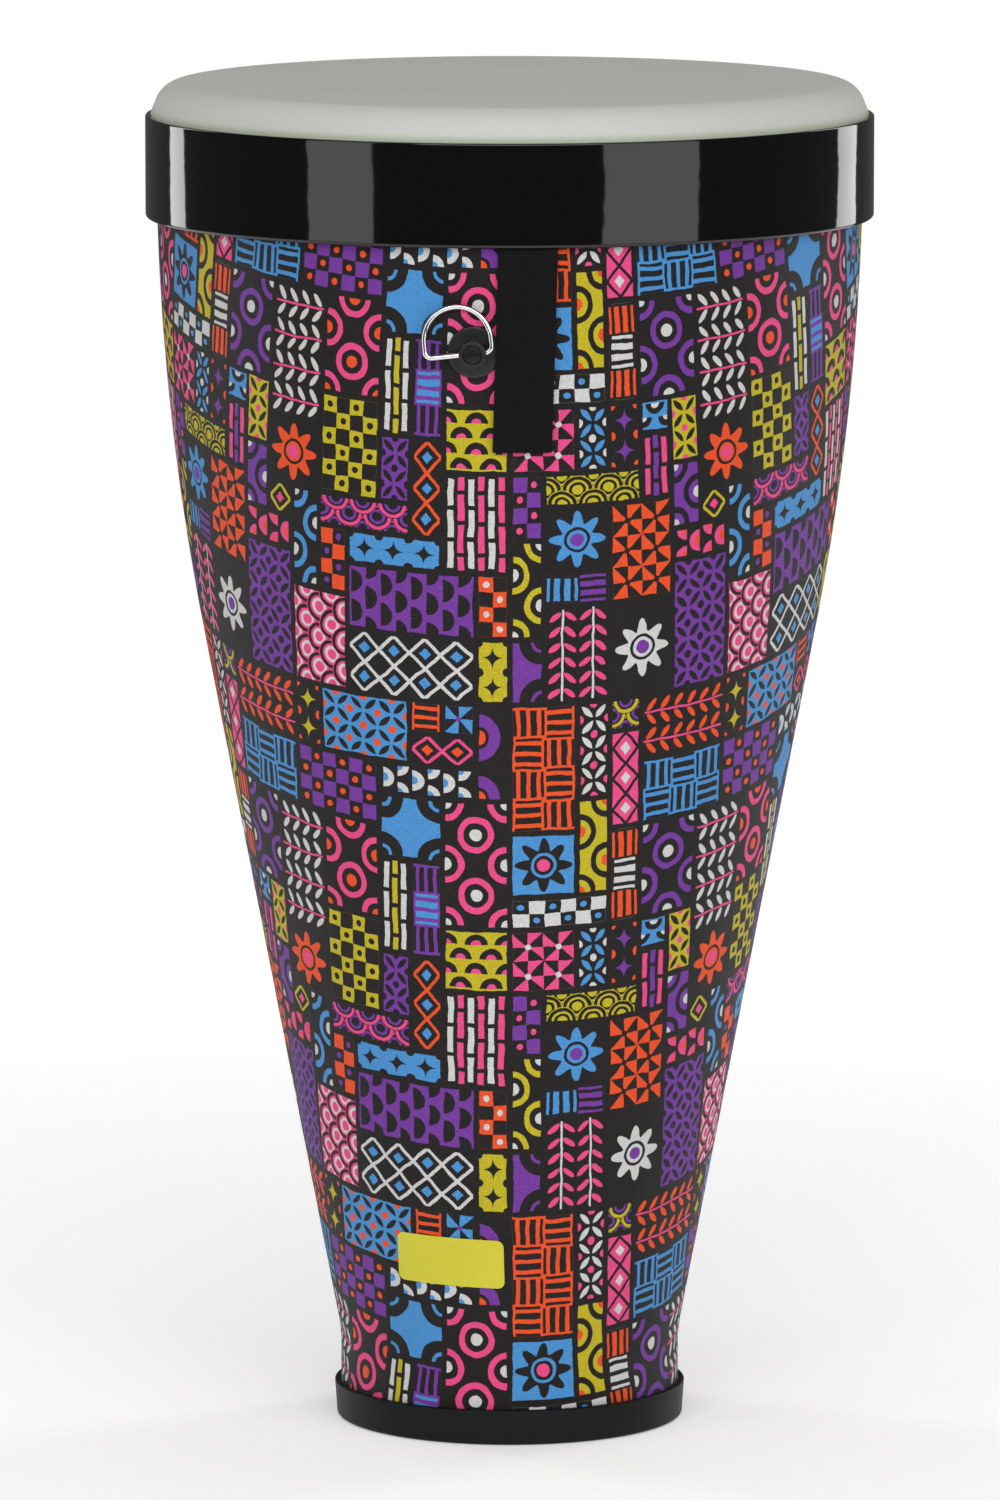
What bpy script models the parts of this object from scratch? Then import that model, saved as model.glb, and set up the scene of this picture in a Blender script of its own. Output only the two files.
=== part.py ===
"""Stack drum: a tapered, covered shell on a rubber foot, with a lift-off playing head held down by
three hook-and-loop straps, and a carrying ring that swings in a saddle on the front.

Metres, +Z up. The origin is on the floor under the middle of the foot, and -Y is the front.
Each layer is set from the one inside it, so a changed size carries the pieces that lie on it.
"""
import math

import bmesh
import bpy
import numpy as np
from mathutils import Matrix, Vector

# Fits and facets
GAP = 0.0003                  # left between solids that touch or are bonded
MERGE = 0.00001
RING_SEGMENTS = 66            # facets round every large turned piece, all in phase
SMALL_SEGMENTS = 24           # facets round the small hardware
NECK_STEPS = 2
SHOULDER_STEPS = 4
CROWN_STEPS = 5
ROUND_STEPS = 2               # facets of a small rounded edge
CORNER_STEPS = 3              # facets of a patch's rounded corner
WIRE_CORNER_STEPS = 4
WIRE_BOW_STEPS = 18
WIRE_BEVEL = 3                # Blender's bevel resolution, ten sides
STRAP_ROWS = 9
STRAP_COLUMNS = 4
PAD_ROWS = 4
PAD_COLUMNS = 2
STICKER_ROWS = 2
STICKER_COLUMNS = 8
SHARP_ANGLE = math.radians(32)

# Outline of the covered shell, measured on the outside of the covering
FOOT_RADIUS = 0.0731
FOOT_NECK = 0.034             # height where the straight foot starts to open
NECK_BEND = 0.030             # bend radius between the foot and the cone
TOP_RADIUS = 0.15116
SHOULDER_RADIUS = 1.090       # long curve that rounds the cone off into the top
SHOULDER_RISE = 0.0287        # the curve stands upright this far above the hoop's lower edge

# Walls
WRAP_THICKNESS = 0.0006
SHELL_WALL = 0.005

# Rubber foot, a channel that grips the bottom edge of the shell
FOOT_HEIGHT = 0.0152
FOOT_LIP = 0.0024
FOOT_DRAFT = 0.0009
FOOT_FLOOR = 0.003
FOOT_INNER_WALL = 0.002
FOOT_INNER_HEIGHT = 0.012
FOOT_CORNER = 0.0015
FOOT_LIP_ROUND = 0.0008

# Counter hoop
HOOP_BOTTOM = 0.5211
HOOP_HEIGHT = 0.0437
HOOP_WALL = 0.0021
HOOP_CLEARANCE = 0.00254      # room round the covering for the straps
HOOP_BEAD = 0.0008
HOOP_CORNER = 0.0016

# Playing head
HEAD_RISE = 0.0139            # playing face above the top of the hoop
FILM_THICKNESS = 0.0004
CROWN_RADIUS = 0.0116         # rounding of the film over the bearing edge
FILM_SLANT = math.radians(22) # lean of the film between the bearing edge and the hoop
FILM_STANDOFF = 0.001         # the film leaves its collar this far above the hoop
FLESH_HEIGHT = 0.016
FLESH_DEPTH = 0.004           # top of the flesh hoop below the start of the slant
FLESH_CLEARANCE = 0.00034     # slip fit of the flesh hoop over the covering
COLLAR_HEM = 0.0015           # film that hangs below the flesh hoop

# Bearing ring, glued into the top of the shell
BEARING_RISE = 0.021
BEARING_SKIRT = 0.017
BEARING_WIDTH = 0.010
BEARING_CHAMFER = 0.0015

# Hold-down straps
STRAP_COUNT = 3
STRAP_AZIMUTH = math.radians(2.84)
STRAP_WIDTH = 0.0245
STRAP_THICKNESS = 0.0011
STRAP_DROP = 0.0857           # strap below the hoop
STRAP_LEAN = -0.00215         # sideways drift of the strap's free end
PAD_THICKNESS = 0.0008
PAD_TOP_MARGIN = 0.012
PAD_END_MARGIN = 0.002
PAD_CLEARANCE = 0.0005
PAD_CORNER = 0.002

# Ring saddle on its flange
BOSS_DROP = 0.0436            # saddle below the hoop
BOSS_TILT = math.radians(6.5)
FLANGE_RADIUS = 0.011
FLANGE_TUCK = 0.002           # the strap covers this much of the flange
FLANGE_RIM = 0.0008
FLANGE_CROWN = 0.001
SADDLE_RADIUS = 0.00575
SADDLE_FLOOR = 0.0011
SADDLE_ROOF = 0.00195
SADDLE_ROUND = 0.0006
SADDLE_RECESS = 0.0014
PIVOT_WEB = 0.0004            # wall between the screw's bore and each pivot hole
PIVOT_FLARE = 0.0004

# Carrying ring
WIRE_RADIUS = 0.0012
RING_WIDTH = 0.028
RING_HEIGHT = 0.0202
RING_CORNER = 0.003
RING_CLEARANCE = 0.0004       # between the ring and the strap's edge

# Fixing screw
SHANK_RADIUS = 0.002
SCREW_HEAD_RADIUS = 0.0037
SCREW_HEAD_HEIGHT = 0.0010
SCREW_HEAD_CROWN = 0.0002
SLOT_WIDTH = 0.0009
SLOT_DEPTH = 0.0006
SLOT_TILT = math.radians(6)
WASHER_RADIUS = 0.008
WASHER_THICKNESS = 0.001
NUT_ACROSS_FLATS = 0.007
NUT_HEIGHT = 0.0032
SCREW_END = 0.001             # shank that shows past the nut

# Blank sticker
STICKER_AZIMUTH = math.radians(-18.6)
STICKER_HEIGHT = 0.0806
STICKER_WIDTH = 0.048
STICKER_TALL = 0.0219
STICKER_THICKNESS = 0.00025
STICKER_CORNER = 0.003
STICKER_TILT = math.radians(-2.0)

# Sizes that follow from the ones above
SHOULDER_HEIGHT = HOOP_BOTTOM + SHOULDER_RISE
BOSS_HEIGHT = HOOP_BOTTOM - BOSS_DROP
HOOP_TOP = HOOP_BOTTOM + HOOP_HEIGHT
HOOP_INNER = TOP_RADIUS + HOOP_CLEARANCE
HOOP_OUTER = HOOP_INNER + HOOP_WALL
HEAD_TOP = HOOP_TOP + HEAD_RISE
COLLAR_RADIUS = HOOP_INNER - GAP
FILM_KNEE = HOOP_TOP + FILM_STANDOFF
FLESH_TOP = FILM_KNEE - FLESH_DEPTH
FLESH_BOTTOM = FLESH_TOP - FLESH_HEIGHT
COLLAR_BOTTOM = FLESH_BOTTOM - COLLAR_HEM
CROWN_CENTRE = HEAD_TOP - CROWN_RADIUS
CROWN_START = (
    COLLAR_RADIUS
    - (CROWN_CENTRE + CROWN_RADIUS * math.sin(FILM_SLANT) - FILM_KNEE) * math.tan(FILM_SLANT)
    - CROWN_RADIUS * math.cos(FILM_SLANT)
)
BEARING_TOP = HEAD_TOP - FILM_THICKNESS - GAP
BEARING_SEAT = BEARING_TOP - BEARING_RISE
SHELL_TOP = BEARING_SEAT - GAP
SHELL_BOTTOM = FOOT_FLOOR + GAP
STRAP_TOP = HOOP_BOTTOM - GAP
STRAP_BOTTOM = HOOP_BOTTOM - STRAP_DROP
STRAP_LIFT = GAP + PAD_THICKNESS + GAP
SHANK_CLEARANCE = SHANK_RADIUS + GAP
PIVOT_RADIUS = WIRE_RADIUS + GAP
SADDLE_SEAT = GAP + FLANGE_CROWN + GAP
RING_AXIS = SADDLE_SEAT + SADDLE_FLOOR + PIVOT_RADIUS
SADDLE_TOP = RING_AXIS + PIVOT_RADIUS + SADDLE_ROOF

DOWN = Vector((0, 0, -1))


def cone_angle():
    """Angle of the cone that is tangent to the neck bend and to the shoulder curve."""
    rise = SHOULDER_HEIGHT - FOOT_NECK
    run = SHOULDER_RADIUS + NECK_BEND + FOOT_RADIUS - TOP_RADIUS
    reach = math.hypot(rise, run)
    return math.atan2(rise, run) - math.acos((SHOULDER_RADIUS + NECK_BEND) / reach)


CONE_ANGLE = cone_angle()
CONE_START = FOOT_NECK + NECK_BEND * math.sin(CONE_ANGLE)
CONE_END = SHOULDER_HEIGHT - SHOULDER_RADIUS * math.sin(CONE_ANGLE)


def cover_radius(z):
    """Outer radius of the covering at height z: straight foot, bend, cone, shoulder."""
    if z <= FOOT_NECK:
        return FOOT_RADIUS
    if z <= CONE_START:
        return FOOT_RADIUS + NECK_BEND - math.sqrt(NECK_BEND**2 - (z - FOOT_NECK) ** 2)
    if z <= CONE_END:
        shoulder_drop = SHOULDER_RADIUS * (1 - math.cos(CONE_ANGLE))
        return TOP_RADIUS - shoulder_drop - (CONE_END - z) * math.tan(CONE_ANGLE)
    return TOP_RADIUS - SHOULDER_RADIUS + math.sqrt(SHOULDER_RADIUS**2 - (SHOULDER_HEIGHT - z) ** 2)


def cover_slope(z):
    """Angle by which the covering leans out at height z."""
    step = GAP
    return math.atan2(cover_radius(z + step) - cover_radius(z - step), 2 * step)


def shell_radius(z):
    return cover_radius(z) - WRAP_THICKNESS - GAP


def bore_radius(z):
    return shell_radius(z) - SHELL_WALL


def outline_heights(low, high):
    """Heights that the outline needs between low and high, closest where it bends."""
    neck = [FOOT_NECK + NECK_BEND * math.sin(t) for t in np.linspace(0, CONE_ANGLE, NECK_STEPS + 1)]
    top_angle = math.asin((SHOULDER_HEIGHT - high) / SHOULDER_RADIUS)
    turns = np.linspace(CONE_ANGLE, top_angle, SHOULDER_STEPS + 1)
    shoulder = [SHOULDER_HEIGHT - SHOULDER_RADIUS * math.sin(t) for t in turns]
    inside = [z for z in neck + shoulder[:-1] if low + GAP < z < high - GAP]
    return [low] + inside + [high]


def arc(centre, radius, start, end, steps):
    """Points on an arc in the profile plane, angles in radians from +R towards +Z."""
    angles = np.linspace(start, end, steps + 1)
    return [(centre[0] + radius * math.cos(a), centre[1] + radius * math.sin(a)) for a in angles]


def on_cover(azimuth, z, across=0.0, lift=0.0):
    """Point on the covering: azimuth from the front, then a distance across and a lift outwards."""
    around = azimuth + across / cover_radius(z)
    radius = cover_radius(z) + lift
    return Vector((radius * math.sin(around), -radius * math.cos(around), z))


def material(name, colour, roughness, metallic=0.0):
    finish = bpy.data.materials.new(name)
    finish.use_nodes = True
    shader = finish.node_tree.nodes["Principled BSDF"]
    shader.inputs["Base Color"].default_value = (*colour, 1.0)
    shader.inputs["Roughness"].default_value = roughness
    shader.inputs["Metallic"].default_value = metallic
    finish.diffuse_color = (*colour, 1.0)
    return finish


def add_object(name, mesh, finish, parent=None):
    """Link a mesh as an object, shaded smooth between its sharp edges."""
    part = bpy.data.objects.new(name, mesh)
    bpy.context.scene.collection.objects.link(part)
    if finish:
        mesh.materials.append(finish)
        mesh.shade_smooth()
        mesh.set_sharp_from_angle(angle=SHARP_ANGLE)
    part.parent = parent
    return part


def add_frame(name, matrix):
    """Empty that carries the pieces built in its own coordinates."""
    frame = bpy.data.objects.new(name, None)
    bpy.context.scene.collection.objects.link(frame)
    frame.empty_display_size = FLANGE_RADIUS
    frame.matrix_basis = matrix
    return frame


def turned(name, profile, finish, segments, parent=None, closed=True):
    """Spin a profile of (radius, height) points about the local Z axis.

    A profile that starts and ends on the axis is left open, and its ends close in poles.
    """
    mesh = bpy.data.meshes.new(name)
    work = bmesh.new()
    verts = [work.verts.new((r, 0.0, z)) for r, z in profile]
    pairs = list(zip(verts, verts[1:])) + ([(verts[-1], verts[0])] if closed else [])
    edges = [work.edges.new(pair) for pair in pairs]
    bmesh.ops.spin(
        work,
        geom=verts + edges,
        cent=(0, 0, 0),
        axis=(0, 0, 1),
        angle=math.tau,
        steps=segments,
        use_merge=True,
    )
    bmesh.ops.remove_doubles(work, verts=work.verts, dist=MERGE)
    bmesh.ops.recalc_face_normals(work, faces=work.faces)
    work.to_mesh(mesh)
    work.free()
    return add_object(name, mesh, finish, parent)


def large_ring(name, profile, finish, parent=None, closed=True):
    """Turned piece of the drum itself, with a facet edge on the middle of every strap."""
    ring = turned(name, profile, finish, RING_SEGMENTS, parent, closed)
    ring.rotation_euler.z = STRAP_AZIMUTH - math.pi / 2
    return ring


def layered(name, under, over, finish, parent=None, around=False):
    """Closed solid between two grids of points, each a list of rows.

    With around set, the rows are closed loops, and only the first and last rows get a rim.
    """
    mesh = bpy.data.meshes.new(name)
    work = bmesh.new()
    low = [[work.verts.new(p) for p in row] for row in under]
    high = [[work.verts.new(p) for p in row] for row in over]
    rows, columns = len(low), len(low[0])
    spans = [(j, (j + 1) % columns) for j in range(columns if around else columns - 1)]
    for i in range(rows - 1):
        for j, k in spans:
            work.faces.new((high[i][j], high[i][k], high[i + 1][k], high[i + 1][j]))
            work.faces.new((low[i][j], low[i + 1][j], low[i + 1][k], low[i][k]))
    for i in (0, rows - 1):
        for j, k in spans:
            work.faces.new((low[i][j], low[i][k], high[i][k], high[i][j]))
    if not around:
        for j in (0, columns - 1):
            for i in range(rows - 1):
                work.faces.new((low[i][j], high[i][j], high[i + 1][j], low[i + 1][j]))
    bmesh.ops.recalc_face_normals(work, faces=work.faces)
    work.to_mesh(mesh)
    work.free()
    return add_object(name, mesh, finish, parent)


def patch(name, rows, place, lift, thickness, finish, columns):
    """Strip that follows the covering; rows hold (height, half width), place maps them to points."""
    shares = np.linspace(-1, 1, columns + 1)
    under = [[place(z, half * s, lift) for s in shares] for z, half in rows]
    over = [[place(z, half * s, lift + thickness) for s in shares] for z, half in rows]
    return layered(name, under, over, finish)


def rounded_rows(half_height, half_width, corner, middle_rows):
    """Rows (offset, half width) of a rectangle with rounded corners, from its top down."""
    turns = np.linspace(math.pi / 2, 0, CORNER_STEPS + 1)
    top, side = half_height - corner, half_width - corner
    cap = [(top + corner * math.sin(t), side + corner * math.cos(t)) for t in turns]
    straight = np.linspace(top, -top, middle_rows + 1)[1:-1]
    return cap + [(v, half_width) for v in straight] + [(-v, w) for v, w in reversed(cap)]


def cut(target, cutter):
    """Subtract the cutter, which stays in the file as a wire guide."""
    cutter.hide_render = True
    cutter.display_type = "WIRE"
    boolean = target.modifiers.new(cutter.name, "BOOLEAN")
    boolean.operation = "DIFFERENCE"
    boolean.solver = "EXACT"
    boolean.object = cutter


def move_origin(part, frame):
    """Put the object's origin and axes on the frame, with its shape left where it is."""
    part.data.transform(frame.inverted())
    part.matrix_world = frame


def build_shell(finish):
    """Moulded fibre shell, open at both ends."""
    heights = outline_heights(SHELL_BOTTOM, SHELL_TOP)
    outside = [(shell_radius(z), z) for z in reversed(heights)]
    inside = [(bore_radius(z), z) for z in heights]
    return large_ring("shell", outside + inside, finish)


def build_wrap(finish):
    """Printed covering, bonded to the outside of the shell."""
    heights = outline_heights(SHELL_BOTTOM, SHELL_TOP)
    outside = [(cover_radius(z), z) for z in reversed(heights)]
    inside = [(cover_radius(z) - WRAP_THICKNESS, z) for z in heights]
    return large_ring("shell_wrap", outside + inside, finish)


def build_rubber_foot(finish):
    """Channel that grips the bottom edge of the shell between two walls."""
    lip_outer = FOOT_RADIUS + GAP + FOOT_LIP
    base_outer = lip_outer - FOOT_DRAFT
    grip_outer = FOOT_RADIUS + GAP
    grip_inner = bore_radius(SHELL_BOTTOM) - GAP
    bore = grip_inner - FOOT_INNER_WALL
    lip_centre = (lip_outer - FOOT_LIP_ROUND, FOOT_HEIGHT - FOOT_LIP_ROUND)
    lip = arc(lip_centre, FOOT_LIP_ROUND, math.pi / 2, 0, ROUND_STEPS)
    base_centre = (base_outer - FOOT_CORNER, FOOT_CORNER)
    base = arc(base_centre, FOOT_CORNER, 0, -math.pi / 2, ROUND_STEPS)
    channel = [
        (bore, 0.0),
        (bore, FOOT_INNER_HEIGHT),
        (grip_inner, FOOT_INNER_HEIGHT),
        (grip_inner, FOOT_FLOOR),
        (grip_outer, FOOT_FLOOR),
        (grip_outer, FOOT_HEIGHT),
    ]
    return large_ring("rubber_foot", lip + base + channel, finish)


def build_bearing_ring(finish):
    """Ring in the top of the shell, with the rounded edge that the film bears on."""
    edge = CROWN_RADIUS - FILM_THICKNESS - GAP
    wall = min(CROWN_START + edge, TOP_RADIUS)
    edge_end = math.acos((wall - CROWN_START) / edge)
    skirt_bottom = BEARING_SEAT - BEARING_SKIRT
    skirt = min(bore_radius(skirt_bottom), bore_radius(BEARING_SEAT)) - GAP
    inner = skirt - BEARING_WIDTH
    profile = arc((CROWN_START, CROWN_CENTRE), edge, math.pi / 2, edge_end, CROWN_STEPS) + [
        (wall, BEARING_SEAT),
        (skirt, BEARING_SEAT),
        (skirt, skirt_bottom),
        (inner, skirt_bottom),
        (inner, BEARING_TOP - BEARING_CHAMFER),
        (inner + BEARING_CHAMFER, BEARING_TOP),
    ]
    return large_ring("bearing_ring", profile, finish)


def build_counter_hoop(finish, parent):
    """Thin hoop round the head, with a beaded top edge and an eased bottom corner."""
    bead_centre = (HOOP_OUTER - HOOP_BEAD, HOOP_TOP - HOOP_BEAD)
    top = arc(bead_centre, HOOP_BEAD, math.pi / 2, 0, ROUND_STEPS)
    corner_centre = (HOOP_OUTER - HOOP_CORNER, HOOP_BOTTOM + HOOP_CORNER)
    corner = arc(corner_centre, HOOP_CORNER, 0, -math.pi / 2, ROUND_STEPS)
    inside = [(HOOP_INNER, HOOP_BOTTOM), (HOOP_INNER, HOOP_TOP - GAP), (HOOP_INNER + GAP, HOOP_TOP)]
    return large_ring("counter_hoop", top + corner + inside, finish, parent)


def film_side(depth):
    """Film from the edge of its flat face to the foot of its collar, at a depth into its wall."""
    radius = CROWN_RADIUS - depth
    crown = arc((CROWN_START, CROWN_CENTRE), radius, math.pi / 2, FILM_SLANT, CROWN_STEPS)
    collar = COLLAR_RADIUS - depth
    knee = FILM_KNEE - depth * math.tan(FILM_SLANT / 2)
    return crown + [(collar, knee), (collar, COLLAR_BOTTOM)]


def build_head_film(finish, parent):
    """Coated film: a flat playing face, rolled over the bearing edge into an upright collar."""
    outer = [(0.0, HEAD_TOP)] + film_side(0.0)
    inner = [(0.0, HEAD_TOP - FILM_THICKNESS)] + film_side(FILM_THICKNESS)
    return large_ring("head_film", outer + inner[::-1], finish, parent, closed=False)


def build_flesh_hoop(finish, parent):
    """Inner hoop that holds the film's collar against the counter hoop."""
    outer = COLLAR_RADIUS - FILM_THICKNESS - GAP
    inner = TOP_RADIUS + FLESH_CLEARANCE
    profile = [(outer, FLESH_TOP), (outer, FLESH_BOTTOM), (inner, FLESH_BOTTOM), (inner, FLESH_TOP)]
    return large_ring("flesh_hoop", profile, finish, parent)


def strap_azimuth(index):
    return STRAP_AZIMUTH + index * math.tau / STRAP_COUNT


def strap_place(index):
    """Map (height, distance across, lift) to a point on one strap, which drifts as it drops."""

    def place(z, across, lift):
        drift = STRAP_LEAN * (STRAP_TOP - z) / (STRAP_TOP - STRAP_BOTTOM)
        return on_cover(strap_azimuth(index), z, across + drift, lift)

    return place


def build_strap(index, finish, parent):
    """Free part of a strap, with its origin on the bend at the hoop's lower edge."""
    rows = [(z, STRAP_WIDTH / 2) for z in np.linspace(STRAP_TOP, STRAP_BOTTOM, STRAP_ROWS + 1)]
    name = f"head_strap_{index + 1}"
    strap = patch(name, rows, strap_place(index), STRAP_LIFT, STRAP_THICKNESS, finish, STRAP_COLUMNS)
    azimuth = strap_azimuth(index)
    hinge = on_cover(azimuth, STRAP_TOP, 0.0, STRAP_LIFT + STRAP_THICKNESS)
    outward = Vector((math.sin(azimuth), -math.cos(azimuth), 0.0))
    frame = Matrix((outward.cross(DOWN) * -1, outward, DOWN * -1)).transposed().to_4x4()
    frame.translation = hinge
    move_origin(strap, frame)
    strap.parent = parent
    return strap


def build_strap_anchor(index, finish, parent):
    """Fixed end of a strap, bonded to the inside of the hoop below the film's collar."""
    azimuth = strap_azimuth(index)
    outer = HOOP_INNER - GAP

    def place(z, across, lift):
        around = azimuth + across / TOP_RADIUS
        radius = outer - STRAP_THICKNESS + lift
        return Vector((radius * math.sin(around), -radius * math.cos(around), z))

    rows = [(COLLAR_BOTTOM - 2 * GAP, STRAP_WIDTH / 2), (HOOP_BOTTOM, STRAP_WIDTH / 2)]
    anchor = patch(f"strap_anchor_{index + 1}", rows, place, 0.0, STRAP_THICKNESS, finish, PAD_COLUMNS)
    anchor.parent = parent
    return anchor


def build_hook_pad(index, finish):
    """Hook tape on the covering behind a strap."""
    top = STRAP_TOP - PAD_TOP_MARGIN
    bottom = STRAP_BOTTOM + PAD_END_MARGIN
    half_width = STRAP_WIDTH / 2 - FLANGE_TUCK - PAD_CLEARANCE
    outline = rounded_rows((top - bottom) / 2, half_width, PAD_CORNER, PAD_ROWS)
    rows = [((top + bottom) / 2 + v, w) for v, w in outline]
    name = f"hook_pad_{index + 1}"
    return patch(name, rows, strap_place(index), GAP, PAD_THICKNESS, finish, PAD_COLUMNS)


def boss_azimuth():
    """The flange sits beside the front strap, with its edge tucked under it."""
    drift = STRAP_LEAN * (STRAP_TOP - BOSS_HEIGHT) / (STRAP_TOP - STRAP_BOTTOM)
    across = drift - STRAP_WIDTH / 2 + FLANGE_TUCK - FLANGE_RADIUS
    return STRAP_AZIMUTH + across / cover_radius(BOSS_HEIGHT)


def boss_matrix():
    """Frame on the covering under the saddle: X along the ring's bar, Y up, Z outwards."""
    azimuth = boss_azimuth()
    slope = cover_slope(BOSS_HEIGHT)
    radial = Vector((math.sin(azimuth), -math.cos(azimuth), 0.0))
    outward = math.cos(slope) * radial + math.sin(slope) * DOWN
    up = math.sin(slope) * radial - math.cos(slope) * DOWN
    frame = Matrix((up.cross(outward), up, outward)).transposed().to_4x4()
    frame.translation = on_cover(azimuth, BOSS_HEIGHT)
    return frame @ Matrix.Rotation(BOSS_TILT, 4, "Z")


def build_flange(finish):
    """Round flange that follows the covering, thicker under the saddle than at its rim."""
    azimuth = boss_azimuth()
    rise = math.cos(cover_slope(BOSS_HEIGHT))
    radii = (FLANGE_RADIUS, FLANGE_RADIUS - FLANGE_RIM / 2, SADDLE_RADIUS, SHANK_CLEARANCE)
    tops = (FLANGE_RIM / 2, FLANGE_RIM, FLANGE_CROWN, FLANGE_CROWN)
    turns = np.linspace(0, math.tau, SMALL_SEGMENTS, endpoint=False)

    def loop(radius, lift):
        return [
            on_cover(azimuth, BOSS_HEIGHT + radius * rise * math.sin(t), radius * math.cos(t), lift)
            for t in turns
        ]

    under = [loop(radius, GAP) for radius in radii]
    over = [loop(radius, GAP + top) for radius, top in zip(radii, tops)]
    return layered("ring_flange", under, over, finish, around=True)


def build_saddle(finish, boss):
    """Saddle with a blind pivot hole on each side for the ring's two ends."""
    seat = SADDLE_TOP - SADDLE_RECESS
    recess = SCREW_HEAD_RADIUS + GAP
    rim_centre = (SADDLE_RADIUS - SADDLE_ROUND, SADDLE_TOP - SADDLE_ROUND)
    rim = arc(rim_centre, SADDLE_ROUND, math.pi / 2, 0, ROUND_STEPS)
    profile = rim + [
        (SADDLE_RADIUS, SADDLE_SEAT),
        (SHANK_CLEARANCE, SADDLE_SEAT),
        (SHANK_CLEARANCE, seat),
        (recess, seat),
        (recess, SADDLE_TOP),
    ]
    saddle = turned("ring_saddle", profile, finish, SMALL_SEGMENTS, boss)
    for name, turn in (("pivot_hole_left", -math.pi / 2), ("pivot_hole_right", math.pi / 2)):
        cutter = build_pivot_cutter(name, boss)
        cutter.location.z = RING_AXIS
        cutter.rotation_euler.y = turn
        cut(saddle, cutter)
    return saddle


def build_pivot_cutter(name, boss):
    """Blind hole along local Z, flared where it leaves the saddle so that the ring's bend clears it."""
    bottom = SHANK_CLEARANCE + PIVOT_WEB
    mouth = SADDLE_RADIUS - 2 * PIVOT_FLARE
    end = SADDLE_RADIUS + PIVOT_RADIUS
    flared = PIVOT_RADIUS + PIVOT_FLARE * (end - mouth) / (SADDLE_RADIUS - mouth)
    profile = [(0.0, end), (flared, end), (PIVOT_RADIUS, mouth), (PIVOT_RADIUS, bottom), (0.0, bottom)]
    return turned(name, profile, None, SMALL_SEGMENTS // 2, boss, closed=False)


def ring_lean():
    """Lean of the ring back from the covering's tangent plane when its bow rests on it."""
    return math.asin((RING_AXIS - WIRE_RADIUS - GAP) / RING_HEIGHT)


def ring_path():
    """Centre line of the ring in its pivot frame: from one end in the saddle round to the other."""
    half = RING_WIDTH / 2
    bow_centre = RING_HEIGHT - half
    strap_edge = FLANGE_RADIUS - FLANGE_TUCK
    outermost = strap_edge - RING_CLEARANCE
    offset = (half + WIRE_RADIUS - bow_centre * math.sin(BOSS_TILT) - outermost) / math.cos(BOSS_TILT)
    end = SHANK_CLEARANCE + PIVOT_WEB + GAP
    side = half - RING_CORNER
    right = arc((side - offset, RING_CORNER), RING_CORNER, -math.pi / 2, 0, WIRE_CORNER_STEPS)
    bow = arc((-offset, bow_centre), half, 0, math.pi, WIRE_BOW_STEPS)
    left = arc((-side - offset, RING_CORNER), RING_CORNER, -math.pi, -math.pi / 2, WIRE_CORNER_STEPS)
    return [(end, 0.0)] + right + bow + left + [(-end, 0.0)]


def build_carry_ring(finish, boss):
    """Bent wire ring, its origin on the pivot axis, leaning back against the covering."""
    curve = bpy.data.curves.new("carry_ring", "CURVE")
    curve.dimensions = "3D"
    curve.bevel_depth = WIRE_RADIUS
    curve.bevel_resolution = WIRE_BEVEL
    curve.use_fill_caps = True
    spline = curve.splines.new("POLY")
    path = ring_path()
    spline.points.add(len(path) - 1)
    for point, (x, y) in zip(spline.points, path):
        point.co = (x, y, 0.0, 1.0)
    curve.materials.append(finish)
    ring = bpy.data.objects.new("carry_ring", curve)
    bpy.context.scene.collection.objects.link(ring)
    pivot = add_frame("ring_pivot", Matrix.Translation((0, 0, RING_AXIS)))
    pivot.parent = boss
    ring.parent = pivot
    ring.rotation_euler.x = -ring_lean()
    return ring


def washer_face():
    """Depth of the washer's outer face below the covering, clear of the curved bore round it."""
    bore = bore_radius(BOSS_HEIGHT)
    sag = WASHER_RADIUS**2 / (2 * bore)
    facet = bore * (1 - math.cos(math.pi / RING_SEGMENTS))
    return WRAP_THICKNESS + GAP + SHELL_WALL + sag + facet + 2 * GAP


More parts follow.
